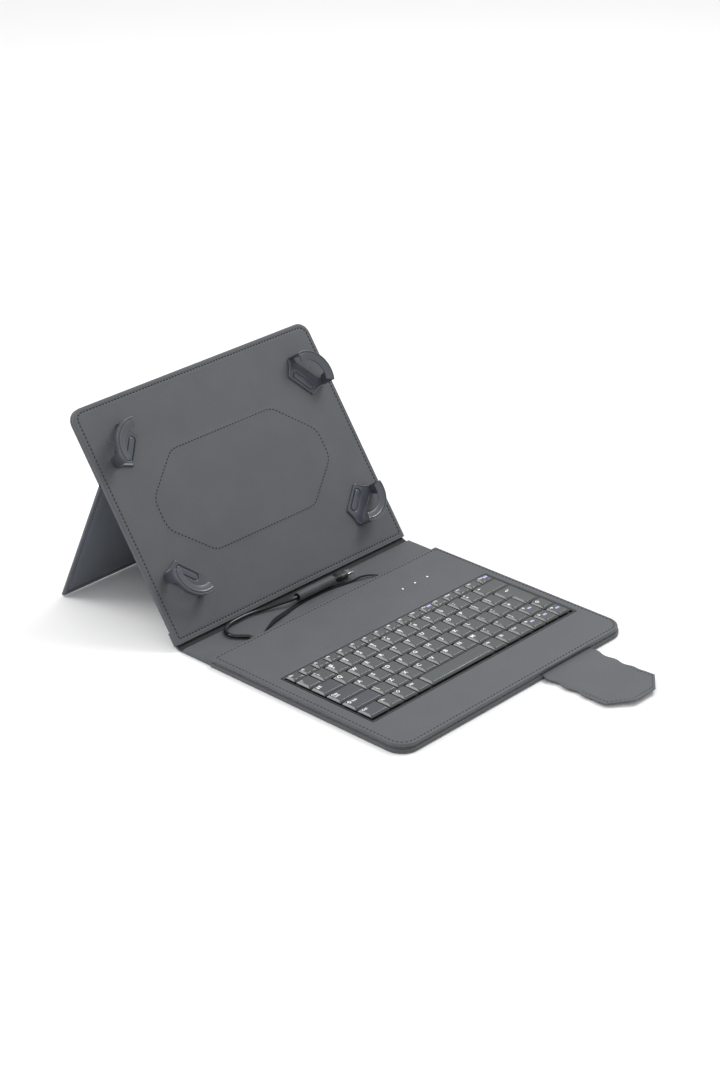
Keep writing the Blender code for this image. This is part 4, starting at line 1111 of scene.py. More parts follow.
# ---- Spine and folds --------------------------------------------------------------------------
@dataclass(frozen=True)
class Spine:
    """Leather strip between the two folds, the folds themselves, the sleeve and the strap."""

    places: Places
    thickness: float = 4.0 * MM
    fold_half: float = 1.6 * MM
    end_inset: float = 1.2 * MM
    strap: tuple[tuple[float, float, float, float], ...] = (
        (-69.0, 1.0, 4.6, 0.8), (-60.0, 4.5, 4.9, 2.4), (-50.0, 8.0, 5.0, 4.0),
        (-38.0, 10.5, 4.8, 4.4), (-26.0, 13.0, 4.3, 4.0), (-14.0, 14.8, 4.3, 4.2),
        (0.0, 15.5, 4.3, 4.6), (18.0, 15.0, 4.3, 4.2), (32.0, 12.2, 4.3, 3.2),
        (42.0, 9.9, 4.6, 2.2), (50.0, 8.3, 5.8, 2.2), (58.0, 5.7, 5.4, 1.8),
        (64.0, 1.4, 4.6, 0.9))

    def build(self) -> None:
        """Build every piece of the spine."""
        self.strip()
        self.front_fold()
        self.rear_fold()
        self.sleeve()
        self.elastic_strap()

    def strip(self) -> None:
        """Flat strip with soft ends."""
        half = self.places.half_width - self.end_inset
        y = (self.places.fold + self.fold_half - 0.1 * MM,
             self.places.holder.y - self.fold_half + 0.1 * MM)
        top = self.thickness
        profile = steps(0.0, (0.5, 0.02), (0.05, 0.2), (0.0, 0.8))
        profile += steps(top, (0.0, -0.8), (0.08, -0.3), (0.5, -0.05))
        profile += [(inset * MM, top) for inset in (1.2, 2.5, 4.0, 6.0, 8.0, 10.0, 12.0, 13.8)]
        shape = slab(rectangle((-half, half), y, 0.8 * MM, arc=4, counts=(90, 12, 90, 12)), profile)
        face = shape.points[:, 2] > top - 0.02 * MM
        shape.points[face, 2] += ripple(shape.points, 0.14 * MM, 12 * MM, 0.7)[face] - 0.06 * MM
        trough = np.clip((shape.points[:, 1] - self.places.holder.y + 4.6 * MM) / (2.0 * MM), 0, 1)
        shape.points[:, 2] *= 1 - 0.66 * trough * trough * (3 - 2 * trough)
        make_piece("spine_strip", shape, Finish.OUTER, "spine", ("spine_cover", "spine_board"))

    def extruded(self, name: str, section: Sequence[Pair],
                 start: Sequence[float], end: Sequence[float],
                 finish: Finish = Finish.OUTER) -> None:
        """Soft bar along X, attached to no body.

        Args:
            name: The piece's name.
            section: Corners across it, as y and z.
            start: Not used.
            end: Not used.
            finish: What it is made of.
        """
        half = self.places.half_width - self.end_inset
        ring = Outline(tuple(section), 0.35 * MM, 3, 3, 0.1 * MM).ring()
        x = np.linspace(-half, half, 45)
        sway = 0.12 * MM * np.sin(x / (9 * MM)) + 0.08 * MM * np.sin(x / (3.7 * MM))
        top = ring[:, 1] > np.mean(ring[:, 1])
        rings = np.stack([
            np.column_stack([np.full(len(ring), at), ring[:, 0], ring[:, 1] + top * shift])
            for at, shift in zip(x, sway)])
        piece = make_piece(name, loft(rings), finish, None)
        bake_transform(piece)
        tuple(start)
        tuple(end)

    def front_fold(self) -> None:
        """Crease between the keyboard half and the spine."""
        fold, reach = self.places.fold, self.fold_half + 0.25 * MM
        section = ((fold - reach, 0.06 * MM), (fold, 0.03 * MM), (fold + reach, 0.06 * MM),
                   (fold + reach, 3.75 * MM), (fold + 0.5 * MM, 3.35 * MM),
                   (fold - 0.5 * MM, 3.25 * MM), (fold - reach, 3.6 * MM))
        self.extruded("front_fold_skin", section,
                      (0, fold - 1.3 * MM, 2 * MM), (0, fold + 1.3 * MM, 2 * MM))

    def rear_fold(self) -> None:
        """Crease between the spine and the leaning holder, which climbs to the holder's foot, with a near-black
        strip of painted shade laid in it.
        """
        fold, holder = self.places.holder.y, self.places.holder
        foot = holder.lift(np.array([[0, 1.0, -5.9], [0, 1.2, -4.6], [0, 0.9, -3.2]]) * MM)
        reach = self.fold_half + 0.25 * MM
        section = ((fold - reach, 0.06 * MM), (fold + 0.8 * MM, 0.05 * MM),
                   (fold + 3.4 * MM, 0.45 * MM), *map(tuple, foot[:, 1:]),
                   (fold + 0.5 * MM, 1.5 * MM), (fold - 0.9 * MM, 1.2 * MM),
                   (fold - reach, 1.3 * MM))
        start, end = (0, fold - 1.2 * MM, 2 * MM), (0, fold + 2.4 * MM, 3.4 * MM)
        self.extruded("rear_fold_skin", section, start, end)
        # Near-black strip over the crease, up to the holder's foot: painted shade for the dark gap there.
        line = ((fold - 2.4 * MM, 1.38 * MM), (fold - 0.9 * MM, 1.35 * MM),
                (fold + 0.5 * MM, 1.65 * MM), (foot[2, 1] - 0.3 * MM, foot[2, 2] + 0.1 * MM))
        thick = tuple((y - 0.1 * MM, z + 0.35 * MM) for y, z in reversed(line))
        self.extruded("rear_fold_lining", line + thick, start, end,
                      Finish.FOLD)

    def sleeve(self) -> None:
        """Leather tube round the lead, which swells and pinches a little and has turned-in mouths."""
        low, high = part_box("lead_sleeve")
        outer, bore = (high.z - low.z) / 2, 3.1 * MM
        centre = np.array([0.0, (low.y + high.y) / 2, (low.z + high.z) / 2])
        along = np.linspace(0, 1, 40)
        x = low.x + (high.x - low.x) * along
        swell = outer - 0.12 * MM + 0.10 * MM * np.sin(along * 19.0) * np.sin(along * math.pi)
        swell[[0, -1]] -= 0.45 * MM
        swell[[1, -2]] -= 0.12 * MM
        around = np.arange(28) * math.tau / 28
        ring = np.stack([np.zeros(28), np.cos(around), np.sin(around)], 1)
        pucker = 1 + 0.02 * np.sin(around * 3 + 1.0)[None, :, None] * np.sin(along * 11)[:, None, None]
        skin = centre + ring[None] * swell[:, None, None] * pucker
        skin[..., 0] += x[:, None]
        inside = centre + ring[None] * bore + np.zeros((8, 1, 1))
        inside[..., 0] += np.linspace(high.x - 0.1 * MM, low.x + 0.1 * MM, 8)[:, None]
        make_piece("lead_sleeve_leather", loft(np.concatenate([skin, inside]), closed=True),
                   Finish.SLEEVE, "spine", ("lead_sleeve",))
        side = math.radians(215)
        line = np.column_stack([x[2:-2], np.full(36, centre[1] + outer * math.cos(side)),
                                np.full(36, centre[2] + outer * math.sin(side) + 0.05 * MM)])
        make_piece("lead_sleeve_stitching", Seam(2.6 * MM, 1.8 * MM, 0.25 * MM).sew(
            line, (0.0, math.cos(side), math.sin(side)), closed=False), Finish.THREAD, "spine")

    def elastic_strap(self) -> None:
        """Flat woven strap: a thin rounded section carried along its middle line."""
        route = smooth_route(np.array(self.strap) * MM, 6)
        centre = route[:, :3] + np.array([0, self.places.fold, 0.36 * MM])
        ahead = unit_steps(centre[:, :2])
        side = np.column_stack([-ahead[:, 1], ahead[:, 0], np.zeros(len(ahead))])
        across = np.array([-1, -0.94, -0.6, -0.2, 0.2, 0.6, 0.94,
                           1, 0.94, 0.6, 0.2, -0.2, -0.6, -0.94])
        thick = np.array([0, -1, -1, -1, -1, -1, -1, 0, 1, 1, 1, 1, 1, 1]) * 0.32 * MM
        width = route[:, 3] / 2
        rings = (centre[:, None] + side[:, None] * (across[None, :] * width[:, None])[..., None]
                 + np.array([0, 0, 1.0]) * thick[None, :, None])
        shape = loft(rings)
        band = np.broadcast_arrays(distances(centre)[:, None], across[None, :] / 2 + 0.5)
        shape.band = np.stack(band, -1).reshape(-1, 2)
        make_piece("lead_strap_webbing", shape, Finish.ELASTIC, "spine", ("lead_strap",))


# ---- Lead and plug ----------------------------------------------------------------------------
@dataclass(frozen=True)
class Lead:
    """The keyboard's lead, which lies in a loop on the spine, and the plug on its end."""

    places: Places
    diameter: float = 3.2 * MM
    route: tuple[tuple[float, float, float], ...] = (
        (-84.5, 0.3, 5.9), (-84.5, 1.6, 5.9), (-85.6, 4.2, 5.9), (-88.2, 7.0, 5.9),
        (-91.2, 10.1, 5.9), (-93.2, 14.2, 5.9), (-93.0, 19.0, 5.9), (-90.4, 23.7, 5.9),
        (-85.2, 27.3, 5.9), (-77.5, 29.4, 5.9), (-69.0, 30.1, 5.9), (-60.0, 29.8, 5.9),
        (-51.0, 28.1, 6.1), (-42.0, 25.4, 6.7), (-33.0, 22.2, 7.9), (-24.5, 19.0, 8.8),
        (-17.0, 17.3, 9.4), (-8.0, 17.3, 9.4), (8.0, 17.3, 9.4), (26.5, 17.3, 9.4))

    def build(self) -> None:
        pieces = [self.grip(), self.shell(), frame["nodes"]["plug_tongue"]]
        points = smooth_route(np.array(self.route) * MM, 4) + np.array([0, self.places.fold, 0])
        curve = bpy.data.curves.new("keyboard_lead", "CURVE")
        curve.dimensions, curve.bevel_depth, curve.bevel_resolution = "3D", self.diameter / 2, 4
        curve.use_fill_caps = True
        spline = curve.splines.new("POLY")
        spline.points.add(len(points) - 1)
        spline.points.foreach_set("co", np.column_stack([points, np.ones(len(points))]).ravel())
        spline.use_smooth = True
        lead = bpy.data.objects.new("keyboard_lead", curve)
        bpy.context.scene.collection.objects.link(lead)
        curve.materials.append(Finish.JACKET.value.material("keyboard_lead"))
        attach(lead, "spine")
        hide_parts("usb_lead")

    def stations(self, rows: Sequence[tuple[float, float, float]], corner: float) -> Array:
        """Rounded sections along X.

        Args:
            rows: For each section its place, half width and half height.
            corner: How square it is: 2 gives an ellipse, and more gives tighter corners.

        Returns:
            The sections as rings of points.
        """
        low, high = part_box("plug_grip")
        centre = (low + high) / 2
        angle = np.arange(32) * math.tau / 32
        power = 2.0 / corner
        wide = np.sign(np.cos(angle)) * np.abs(np.cos(angle)) ** power
        tall = np.sign(np.sin(angle)) * np.abs(np.sin(angle)) ** power
        return np.array([
            np.column_stack([np.full(32, x), centre.y + wide * half, centre.z + tall * height])
            for x, half, height in rows])

    def grip(self) -> bpy.types.Object:
        """Moulded grip: a superellipse whose size follows a taper, three grooves and a flat nose."""
        low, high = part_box("plug_grip")
        half, tall = (high.y - low.y) / 2, (high.z - low.z) / 2
        rows = [(low.x, 0.42 * half, 0.6 * tall), (low.x + 0.3 * MM, 0.5 * half, 0.7 * tall)]
        for number in range(3):
            at = low.x + (1.2 + 1.5 * number) * MM
            size = 0.62 + 0.11 * number
            rows += [(at, size * half, (size + 0.1) * tall),
                     (at + 0.75 * MM, size * half, (size + 0.1) * tall),
                     (at + 0.9 * MM, (size - 0.1) * half, size * tall),
                     (at + 1.3 * MM, (size - 0.1) * half, size * tall)]
        rows += [(low.x + 6.0 * MM, 0.97 * half, 0.97 * tall), (low.x + 7.0 * MM, half, tall),
                 (high.x - 1.2 * MM, half, tall), (high.x - 0.4 * MM, 0.97 * half, 0.95 * tall),
                 (high.x, 0.88 * half, 0.84 * tall)]
        return make_piece("plug_grip_moulding", loft(self.stations(rows, 3.4)), Finish.BLACK,
                          "spine", ("plug_grip",))

    def shell(self) -> bpy.types.Object:
        """Steel shell: an outer wall, a rolled mouth and an inner wall that ends in a floor."""
        low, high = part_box("plug_shell")
        half, tall, wall = (high.y - low.y) / 2, (high.z - low.z) / 2, 0.45 * MM
        rows = [(low.x, half, tall), (high.x - 0.25 * MM, half, tall),
                (high.x, half - 0.12 * MM, tall - 0.12 * MM),
                (high.x, half - 0.3 * MM, tall - 0.3 * MM),
                (high.x - 0.2 * MM, half - wall, tall - wall),
                (low.x + 1.1 * MM, half - wall, tall - wall)]
        return make_piece("plug_shell_steel", loft(self.stations(rows, 6.0)), Finish.STEEL,
                          "spine", ("plug_shell",))


# ---- Holder -----------------------------------------------------------------------------------
@dataclass(frozen=True)
class Holder:
    """Front layer with its octagonal panel, the layers behind it, their stitching and the clips."""

    places: Places
    height: float = 203 * MM
    corner: float = 11 * MM
    front_depth: float = 3.3 * MM
    back_start: float = 3.5 * MM
    back_depth: float = 6.1 * MM
    stand_hinge: float = 141 * MM
    seam_inset: float = 4.0 * MM
    panel: tuple[Pair, ...] = ((-57, 57), (56, 57), (93, 88), (93, 114), (57, 145.5),
                               (-57, 145.5), (-93, 114), (-93, 88))
    panel_radius: float = 16 * MM
    counts: tuple[int, ...] = (70, 54, 70, 54)

    def build(self) -> None:
        """Build the holder and its four clips."""
        self.front()
        self.edge_piping()
        self.back()
        self.slots()
        for clip in CLIPS:
            clip.build(self.places)

    def outline(self, low: float, high: float, radii: tuple[float, ...]) -> Outline:
        """Outline of a layer.

        Args:
            low: How far up the holder it starts.
            high: How far up it ends.
            radii: Its corner radii.

        Returns:
            The outline.
        """
        half = self.places.half_width
        return rectangle((-half, half), (low, high), radii, arc=7, counts=self.counts)

    def front(self) -> None:
        """Front layer: round edges, a stitched border and a panel that stands a little proud.

        Over the face the height is a sum: a smooth step that lifts the octagonal panel, and a ripple.
        """
        layer = self.outline(1.5 * MM, self.height, (0.8 * MM, 0.8 * MM, self.corner, self.corner))
        groove = self.seam_inset
        profile = steps(-self.front_depth, (0.7, 0.0), (0.1, 0.2), (0.0, 0.7))
        profile += steps(0.0, (0.0, -1.9), (0.22, -1.7), (0.02, -1.5), (0.0, -1.0), (0.2, -0.4),
                         (0.6, -0.1), (1.2, 0.0))
        profile += steps(0.0, (-1.0, 0.03), (-0.4, -0.1), (0.0, -0.28), (0.4, -0.1), (1.1, 0.03),
                         inset=groove)
        edge_rows = len(profile)
        profile += [(inset * MM, 0.0) for inset in np.arange(7.0, 100.5, 2.2)]
        shape = slab(layer, profile)
        face = np.arange(len(shape.points)) >= edge_rows * len(layer.ring())
        corners = np.array(self.panel) * MM
        ahead = np.roll(corners, -1, 0) - corners
        inward = np.stack([-ahead[:, 1], ahead[:, 0]], 1) / np.linalg.norm(ahead, axis=1)[:, None]
        inside = ((shape.points[:, None, :2] - corners[None]) * inward[None]).sum(2).min(1)
        step = np.clip((inside + 3.0 * MM) / (3 * MM), 0, 1)
        lift = 0.22 * MM * step * step * (3 - 2 * step)
        swell = ripple(shape.points, 0.12 * MM, 21 * MM, 2.0) - 0.04 * MM
        shape.points[face, 2] += (lift + swell)[face]
        plane = self.places.holder
        make_piece("holder_front", shape.moved(plane.lift), Finish.OUTER, "holder",
                   ("holder_lining", "holder_board"))
        panel = Outline(tuple(map(tuple, corners)), self.panel_radius, 6, 24)
        for name, line, seam in (
                ("holder_border_stitching", raised(layer.ring(groove), -0.22 * MM),
                 Seam(3.3 * MM, 2.6 * MM, 0.5 * MM)),
                ("holder_panel_stitching", raised(panel.ring(), 0.10 * MM),
                 Seam(3.3 * MM, 2.5 * MM, 0.46 * MM))):
            make_piece(name, seam.sew(plane.lift(line), plane.normal), Finish.THREAD, "holder")

    def edge_piping(self) -> None:
        """Rolled edge along the holder's foot: a thin round bar of leather."""
        half = self.places.half_width - 1.4 * MM
        x = np.linspace(-half, half, 60)
        centre = self.places.holder.lift(
            np.column_stack([x, np.full(60, 1.9 * MM), np.full(60, -0.55 * MM)]))
        angle = np.arange(12) * math.tau / 12
        section = np.column_stack([np.cos(angle), np.sin(angle)]) * 0.62 * MM
        side, up = np.tile([0.0, 1.0, 0.0], (60, 1)), np.tile([0.0, 0.0, 1.0], (60, 1))
        make_piece("holder_foot_piping", tube(centre, side, up, section), Finish.OUTER,
                   "holder")

    def back(self) -> None:
        """Layers behind: the upper cover, the strip at the foot, and the lining in the recess."""
        start, end = -self.back_start, -self.back_depth
        covers = (
            ("holder_back_cover_leather", (self.stand_hinge + 0.6 * MM, self.height),
             (0.8 * MM, 0.8 * MM, self.corner, self.corner), "holder_back_cover"),
            ("holder_tail_leather", (0.9 * MM, 13.2 * MM), (0.8 * MM,) * 4, "holder_tail"),
        )
        for name, (low, high), radii, node in covers:
            layer = self.outline(low, high, radii)
            profile = steps(start, (0.5, 0.0), (0.0, -0.3))
            profile += steps(end, (0.0, 0.9), (0.25, 0.25), (0.9, 0.0))
            profile += [(inset * MM, end) for inset in (2.0, 3.2, 4.6, 5.6)]
            shape = slab(layer, profile)
            make_piece(name, shape.moved(self.places.holder.lift), Finish.OUTER, "holder", (node,))
            line = raised(layer.ring(self.seam_inset if high > 0.1 else 3.0 * MM), end)
            down = tuple(-part for part in self.places.holder.normal)
            make_piece(name.replace("leather", "stitching"),
                       Seam().sew(self.places.holder.lift(line), down), Finish.THREAD, "holder")
        recess = self.outline(13.6 * MM, self.stand_hinge, (0.5 * MM,) * 4)
        lining = slab(recess, steps(start, (0.2, 0.0), (0.0, -0.2), (0.3, -0.4), (5.0, -0.4),
                                    (20.0, -0.4), (40.0, -0.4), (60.0, -0.4)))
        make_piece("holder_recess_lining", lining.moved(self.places.holder.lift), Finish.LINING,
                   "holder", ("holder_back_lining",))

    def slots(self) -> None:
        """Bound slots in the lining that the clips' stems slide in: a dark bed in a turned edge."""
        beds, edges = [], []
        for clip in CLIPS:
            outline = rectangle((-2.6 * MM, clip.travel + 1.2 * MM), (-0.7 * MM, 0.7 * MM),
                                0.6 * MM, arc=6, counts=(4, 1, 4, 1))
            bed = slab(outline, steps(0.0, (0.0, -0.2), (0.1, 0.03)))
            edge = steps(0.0, (-0.9, -0.2), (-0.9, 0.02), (-0.3, 0.10), (0.3, 0.08), (0.45, -0.2))
            rim = loft(np.array([raised(outline.ring(inset), height) for inset, height in edge]),
                       closed=True)
            beds.append(bed.moved(clip.onto(self.places.holder)))
            edges.append(rim.moved(clip.onto(self.places.holder)))
        make_piece("clip_slot_beds", Shape.join(beds), Finish.LINING, "holder")
        make_piece("clip_slot_edges", Shape.join(edges), Finish.OUTER, "holder")


@dataclass(frozen=True)
class CornerClip:
    """Sliding corner clip: a pad with a pill-shaped groove, and a curved hook with a flat lip."""

    name: str
    x: float
    y: float
    degrees: float
    travel: float = 15 * MM
    arc_centre: float = -6.0 * MM
    arc_radius: float = 23.3 * MM
    half_angle: float = math.radians(61)
    window: Pair = (33.0, 8.0)

    def onto(self, plane: Plane) -> Callable[[Array], Array]:
        """Put the clip's own frame onto the holder.

        Args:
            plane: The holder's plane.

        Returns:
            A function that moves points so.
        """
        turn = math.radians(self.degrees)
        cos, sin = math.cos(turn), math.sin(turn)

        def place(points: Array) -> Array:
            """Turn about the pad's middle, move onto the holder and lean back."""
            u, v, out = points.T
            x, y = self.x + u * cos - v * sin, self.y + u * sin + v * cos
            return plane.lift(np.column_stack([x, y, out]))

        return place

    def build(self, places: Places) -> None:
        """Build the clip as one moulding."""
        shape = Shape.join([self.pad(), self.hook()]).moved(self.onto(places.holder))
        node = f"clip_{self.name}"
        make_piece(f"{node}_moulding", shape, Finish.CLIP, node, (node,), 38.0)

    def pad(self) -> Shape:
        """Plate with bevelled edges whose top runs into the groove and up the groove's island."""
        corners = steps(0.0, (-10.0, -13.5), (-1.0, -16.4), (4.2, -19.6), (9.2, -17.5),
                        (7.8, -13.0), (7.8, 13.0), (9.2, 17.5), (4.2, 19.6), (-1.0, 16.4),
                        (-10.0, 13.5))
        radii = tuple(radius * MM
                      for radius in (1.0, 4.0, 1.2, 1.2, 4.0, 4.0, 1.2, 1.2, 4.0, 1.0))
        plate = Outline(tuple(corners), radii, 5, 8)
        pill = rectangle((-7.2 * MM, -1.6 * MM), (-10.5 * MM, 10.5 * MM), 2.8 * MM, arc=8,
                         counts=(2, 14, 2, 14), least=0.2 * MM)
        count = 120
        edge = steps(0.0, (0.5, 0.62), (0.0, 0.75), (0.0, 1.1), (0.25, 1.5), (0.8, 1.78),
                     (1.3, 1.72), (1.9, 1.5))
        rings = [raised(evenly(plate.ring(inset), count), height) for inset, height in edge]
        start, end = evenly(plate.ring(2.6 * MM), count), evenly(pill.ring(-0.9 * MM), count)
        rings += [raised(start + (end - start) * share, 1.5 * MM)
                  for share in np.linspace(0, 1, 6)]
        groove = steps(0.0, (-0.65, 1.46), (-0.5, 1.3), (-0.45, 0.5), (0.3, 0.5), (0.35, 1.25),
                       (0.55, 1.42), (1.0, 1.5))
        rings += [raised(evenly(pill.ring(inset), count), height) for inset, height in groove]
        return loft(np.array(rings))

    def hook(self) -> Shape:
        """Hook on two posts: a wall with a lip and two ridges, carried round the corner's arc.

        The wall's lower edge follows a smooth step of the angle, from the foot of each post up to the
        underside of the hook.
        """
        radii = tuple(radius * MM for radius in (0.3, 0.5, 1.6, 0.5, 0.5, 0.3, 0.15, 0.15,
                                                 0.15, 0.15, 0.2, 0.4))

        def section(angle: float, inset: float) -> Array:
            """Section of the hook, as depth and height.

            Args:
                angle: Where it is on the corner's arc.
                inset: How far it is drawn in.

            Returns:
                The section's points.
            """
            step = min(max((math.degrees(abs(angle)) - self.window[0]) / self.window[1], 0.0), 1.0)
            foot = 11.2 - 10.5 * step * step * (3 - 2 * step)
            corners = steps(0.0, (0.0, foot), (1.9, foot), (1.9, 14.1), (8.0, 13.6), (8.0, 14.8),
                            (3.6, 15.5), (3.0, 15.8), (2.5, 15.8), (2.1, 15.2), (1.5, 15.2),
                            (1.1, 15.8), (0.0, 15.8))
            return Outline(tuple(corners), radii, 3, 2, 0.08 * MM).ring(inset)

        ends = ((0.45 * MM, 0.0), (0.12 * MM, 0.012), (0.0, 0.035))
        angles = np.linspace(-self.half_angle + 0.035, self.half_angle - 0.035, 45)[1:-1]
        stations = [(inset, -self.half_angle + turn) for inset, turn in ends]
        stations += [(0.0, angle) for angle in angles]
        stations += [(inset, self.half_angle - turn) for inset, turn in reversed(ends)]
        rings = []
        for inset, angle in stations:
            depth, height = section(angle, inset).T
            radius = self.arc_radius - depth
            rings.append(np.column_stack([self.arc_centre + radius * math.cos(angle),
                                          radius * math.sin(angle), height]))
        return loft(np.array(rings))


CLIPS = (
    CornerClip("top_left", -97.3 * MM, 160.8 * MM, 142.0),
    CornerClip("top_right", 104.7 * MM, 159.0 * MM, 38.0),
    CornerClip("bottom_left", -98.1 * MM, 47.0 * MM, 226.0),
    CornerClip("bottom_right", 101.4 * MM, 43.4 * MM, 313.0),
)


# ---- Stand ------------------------------------------------------------------------------------
@dataclass(frozen=True)
class Stand:
    """Fold-out stand: an outer leather sheet, an inner lined board, stitching and its hinge skin."""

    places: Places
    hinge_gap: float = 0.8 * MM
    cover: Pair = (0.0, 0.6 * MM)
    board: Pair = (0.8 * MM, 1.8 * MM)
    rows: tuple[float, ...] = (3.0, 4.0, 5.0, 12.0, 22.0, 34.0, 46.0, 58.0)

    def build(self) -> None:
        """Build both layers, their seam and the skin over the hinge."""
        half, plane = self.places.half_width, self.places.stand
        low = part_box("stand_board")[0]
        length = (plane.z - low.z) / math.sin(math.pi - plane.angle) - 0.9 * MM
        outline = rectangle((-half, half), (-length, -self.hinge_gap),
                            (2 * MM, 2 * MM, 0.6 * MM, 0.6 * MM), arc=5, counts=(60, 34, 60, 34))
        bottom, top = self.board
        profile = steps(bottom, (0.3, 0.0), (0.0, 0.15))
        profile += steps(top, (0.0, -0.35), (0.3, -0.05), (0.9, 0.0), (3.4, -0.02), (4.0, -0.40))
        profile += [(inset * MM, top) for inset in self.rows[2:]]
        shape = slab(outline, profile)
        face = shape.points[:, 2] > top - 0.02 * MM
        shape.points[face, 2] += ripple(shape.points, 0.10 * MM, 19 * MM, 4.0)[face] - 0.05 * MM
        make_piece("stand_inner_lining", shape.moved(plane.lift), Finish.LINING, "stand",
                   ("stand_board",))
        bottom, top = self.cover
        profile = [(inset * MM, bottom) for inset in reversed(self.rows)]
        profile += steps(bottom, (0.5, 0.0), (0.1, 0.1), (0.0, 0.3)) + [(0.1 * MM, top)]
        make_piece("stand_outer_leather", slab(outline, profile).moved(plane.lift), Finish.OUTER,
                   "stand", ("stand_cover",))
        for name, height, sign in (("stand_inner_stitching", self.board[1] - 0.38 * MM, 1.0),
                                   ("stand_outer_stitching", 0.0, -1.0)):
            line = plane.lift(raised(outline.ring(4.0 * MM), height))
            up = tuple(sign * part for part in plane.normal)
            make_piece(name, Seam().sew(line, up), Finish.THREAD, "stand")
        self.hinge_skin()

    def hinge_skin(self) -> None:
        """Leather that crosses the hinge: a thin sheet that bends from the cover to the stand."""
        holder, stand = self.places.holder, self.places.stand
        hinge = holder.lift(np.array([[0.0, Holder.stand_hinge, -Holder.back_depth]]))[0]
        above = holder.lift(np.array([[0, 144.0, -5.95], [0, 142.4, -5.95]]) * MM)
        below = stand.lift(np.array([[0, -1.2, 0.25], [0, -3.0, 0.25]]) * MM)
        line = smooth_route(np.vstack([above, below])[:, 1:], 5)
        ahead = unit_steps(line)
        across = np.stack([-ahead[:, 1], ahead[:, 0]], 1) * 0.22 * MM
        section = np.vstack([line + across, (line - across)[::-1]])
        half = self.places.half_width - 0.8 * MM
        x = np.linspace(-half, half, 40)
        rings = np.stack([np.column_stack([np.full(len(section), at), section]) for at in x])
        piece = make_piece("stand_hinge_skin", loft(rings), Finish.OUTER, None)
        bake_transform(piece)


# ---- Closure tab ------------------------------------------------------------------------------
@dataclass(frozen=True)
class ClosureTab:
    """Closure tab: a leather tongue with wavy sides, two creases and a cut-cornered end."""

    places: Places
    reach: float = 76.4 * MM
    tip_cut: float = 15.0 * MM
    root_height: float = 3.15 * MM
    sag: float = -0.075
    spring: float = 1.1
    thickness: float = 1.5 * MM
    wave: float = 1.0 * MM
    tip_taper: float = 1.27
    wave_pitch: float = 18.0 * MM
    first_neck: float = 14.4 * MM
    split: float = 17.0 * MM

    def half_width(self, at: Array) -> Array:
        """Half width of the tongue: a slow wave, then a straight cut to the tip.

        Args:
            at: Distances from the case's edge.

        Returns:
            The half widths.
        """
        low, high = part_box("tab_flap")
        full = (high.x - low.x) / 2
        wave = self.wave * (1 + np.cos((at - self.first_neck) / self.wave_pitch * math.tau))
        fade = np.clip((52 * MM - at) / (14 * MM), 0, 1)
        cut = np.maximum(at - (self.reach - self.tip_cut), 0) * self.tip_taper
        return full - 0.1 * MM - wave * fade - cut

    def middle_height(self, at: Array) -> Array:
        """Height of the tongue's middle: a parabola that sags, then springs up to the tip."""
        return self.root_height + at * (self.sag + self.spring * at)

    def stretch(self, start: float, end: float, rows: int, tip: bool) -> Shape:
        """Part of the tongue: a flat section whose width and height follow the two curves.

        Args:
            start: Where it starts, from the case's edge.
            end: Where it ends.
            rows: How many sections it gets.
            tip: Whether it ends in the tongue's thinned tip.

        Returns:
            The part.
        """
        low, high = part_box("tab_flap")
        centre = (low.x + high.x) / 2
        at = np.linspace(start, end, rows)
        if tip:
            at = np.concatenate([at[:-1], end - np.array([0.9, 0.4, 0.12, 0.0]) * MM])
        half, middle = self.half_width(at), self.middle_height(at)
        thick = np.full(len(at), self.thickness)
        if tip:
            thick[-4:] *= np.array([0.98, 0.85, 0.6, 0.3])
        section = rectangle((-1, 1), (-0.5, 0.5), 0.0, arc=1, counts=(22, 1, 22, 1), least=1e-4).ring()
        u, v = section.T
        x = centre + half[:, None] * u[None]
        edge = (1 - np.abs(u[None]) ** 24) * 0.35 + 0.65
        sway = 0.22 * MM * np.sin(at[:, None] / (7 * MM) + 3 * u[None]) * u[None] ** 2
        sway *= np.clip(at[:, None] / (20 * MM), 0, 1)
        z = middle[:, None] + thick[:, None] * v[None] * edge + np.maximum(sway, 0.0)
        y = np.broadcast_to((self.places.front - at)[:, None], x.shape)
        return loft(np.stack([x, y, z], -1))

    def build(self) -> None:
        """Build the two stretches and the seam round the tip."""
        root = make_piece("closure_tab_root", self.stretch(-2.2 * MM, self.split, 26, False),
                          Finish.OUTER, None, ("tab_root", "tab_bridge"))
        front = self.places.front
        front + 0.3 * MM
        front - 2.2 * MM
        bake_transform(root)
        flap = make_piece("closure_tab_flap", self.stretch(self.split, self.reach, 60, True),
                          Finish.OUTER, None, ("tab_flap", "tab_flap_lining", "tab_magnet"))
        front - 31.5 * MM
        front - 34.5 * MM
        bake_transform(flap)
        self.seam()

    def seam(self) -> None:
        """Row of stitches along the flap's sides and tip."""
        low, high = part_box("tab_flap")
        centre = (low.x + high.x) / 2
        at = np.concatenate([np.linspace(36 * MM, self.reach - self.tip_cut, 30),
                             [self.reach - 3.2 * MM]])
        side = self.half_width(at) - 3.2 * MM
        right = np.column_stack([centre + side, self.places.front - at])
        left = np.column_stack([centre - side, self.places.front - at])[::-1]
        line = np.vstack([right, left])
        heights = self.middle_height(self.places.front - line[:, 1]) + self.thickness / 2
        make_piece("closure_tab_stitching", Seam(3.4 * MM, 2.3 * MM, 0.26 * MM).sew(
            raised(line, heights), (0, 0, 1), closed=False), Finish.THREAD, "tab_flap")


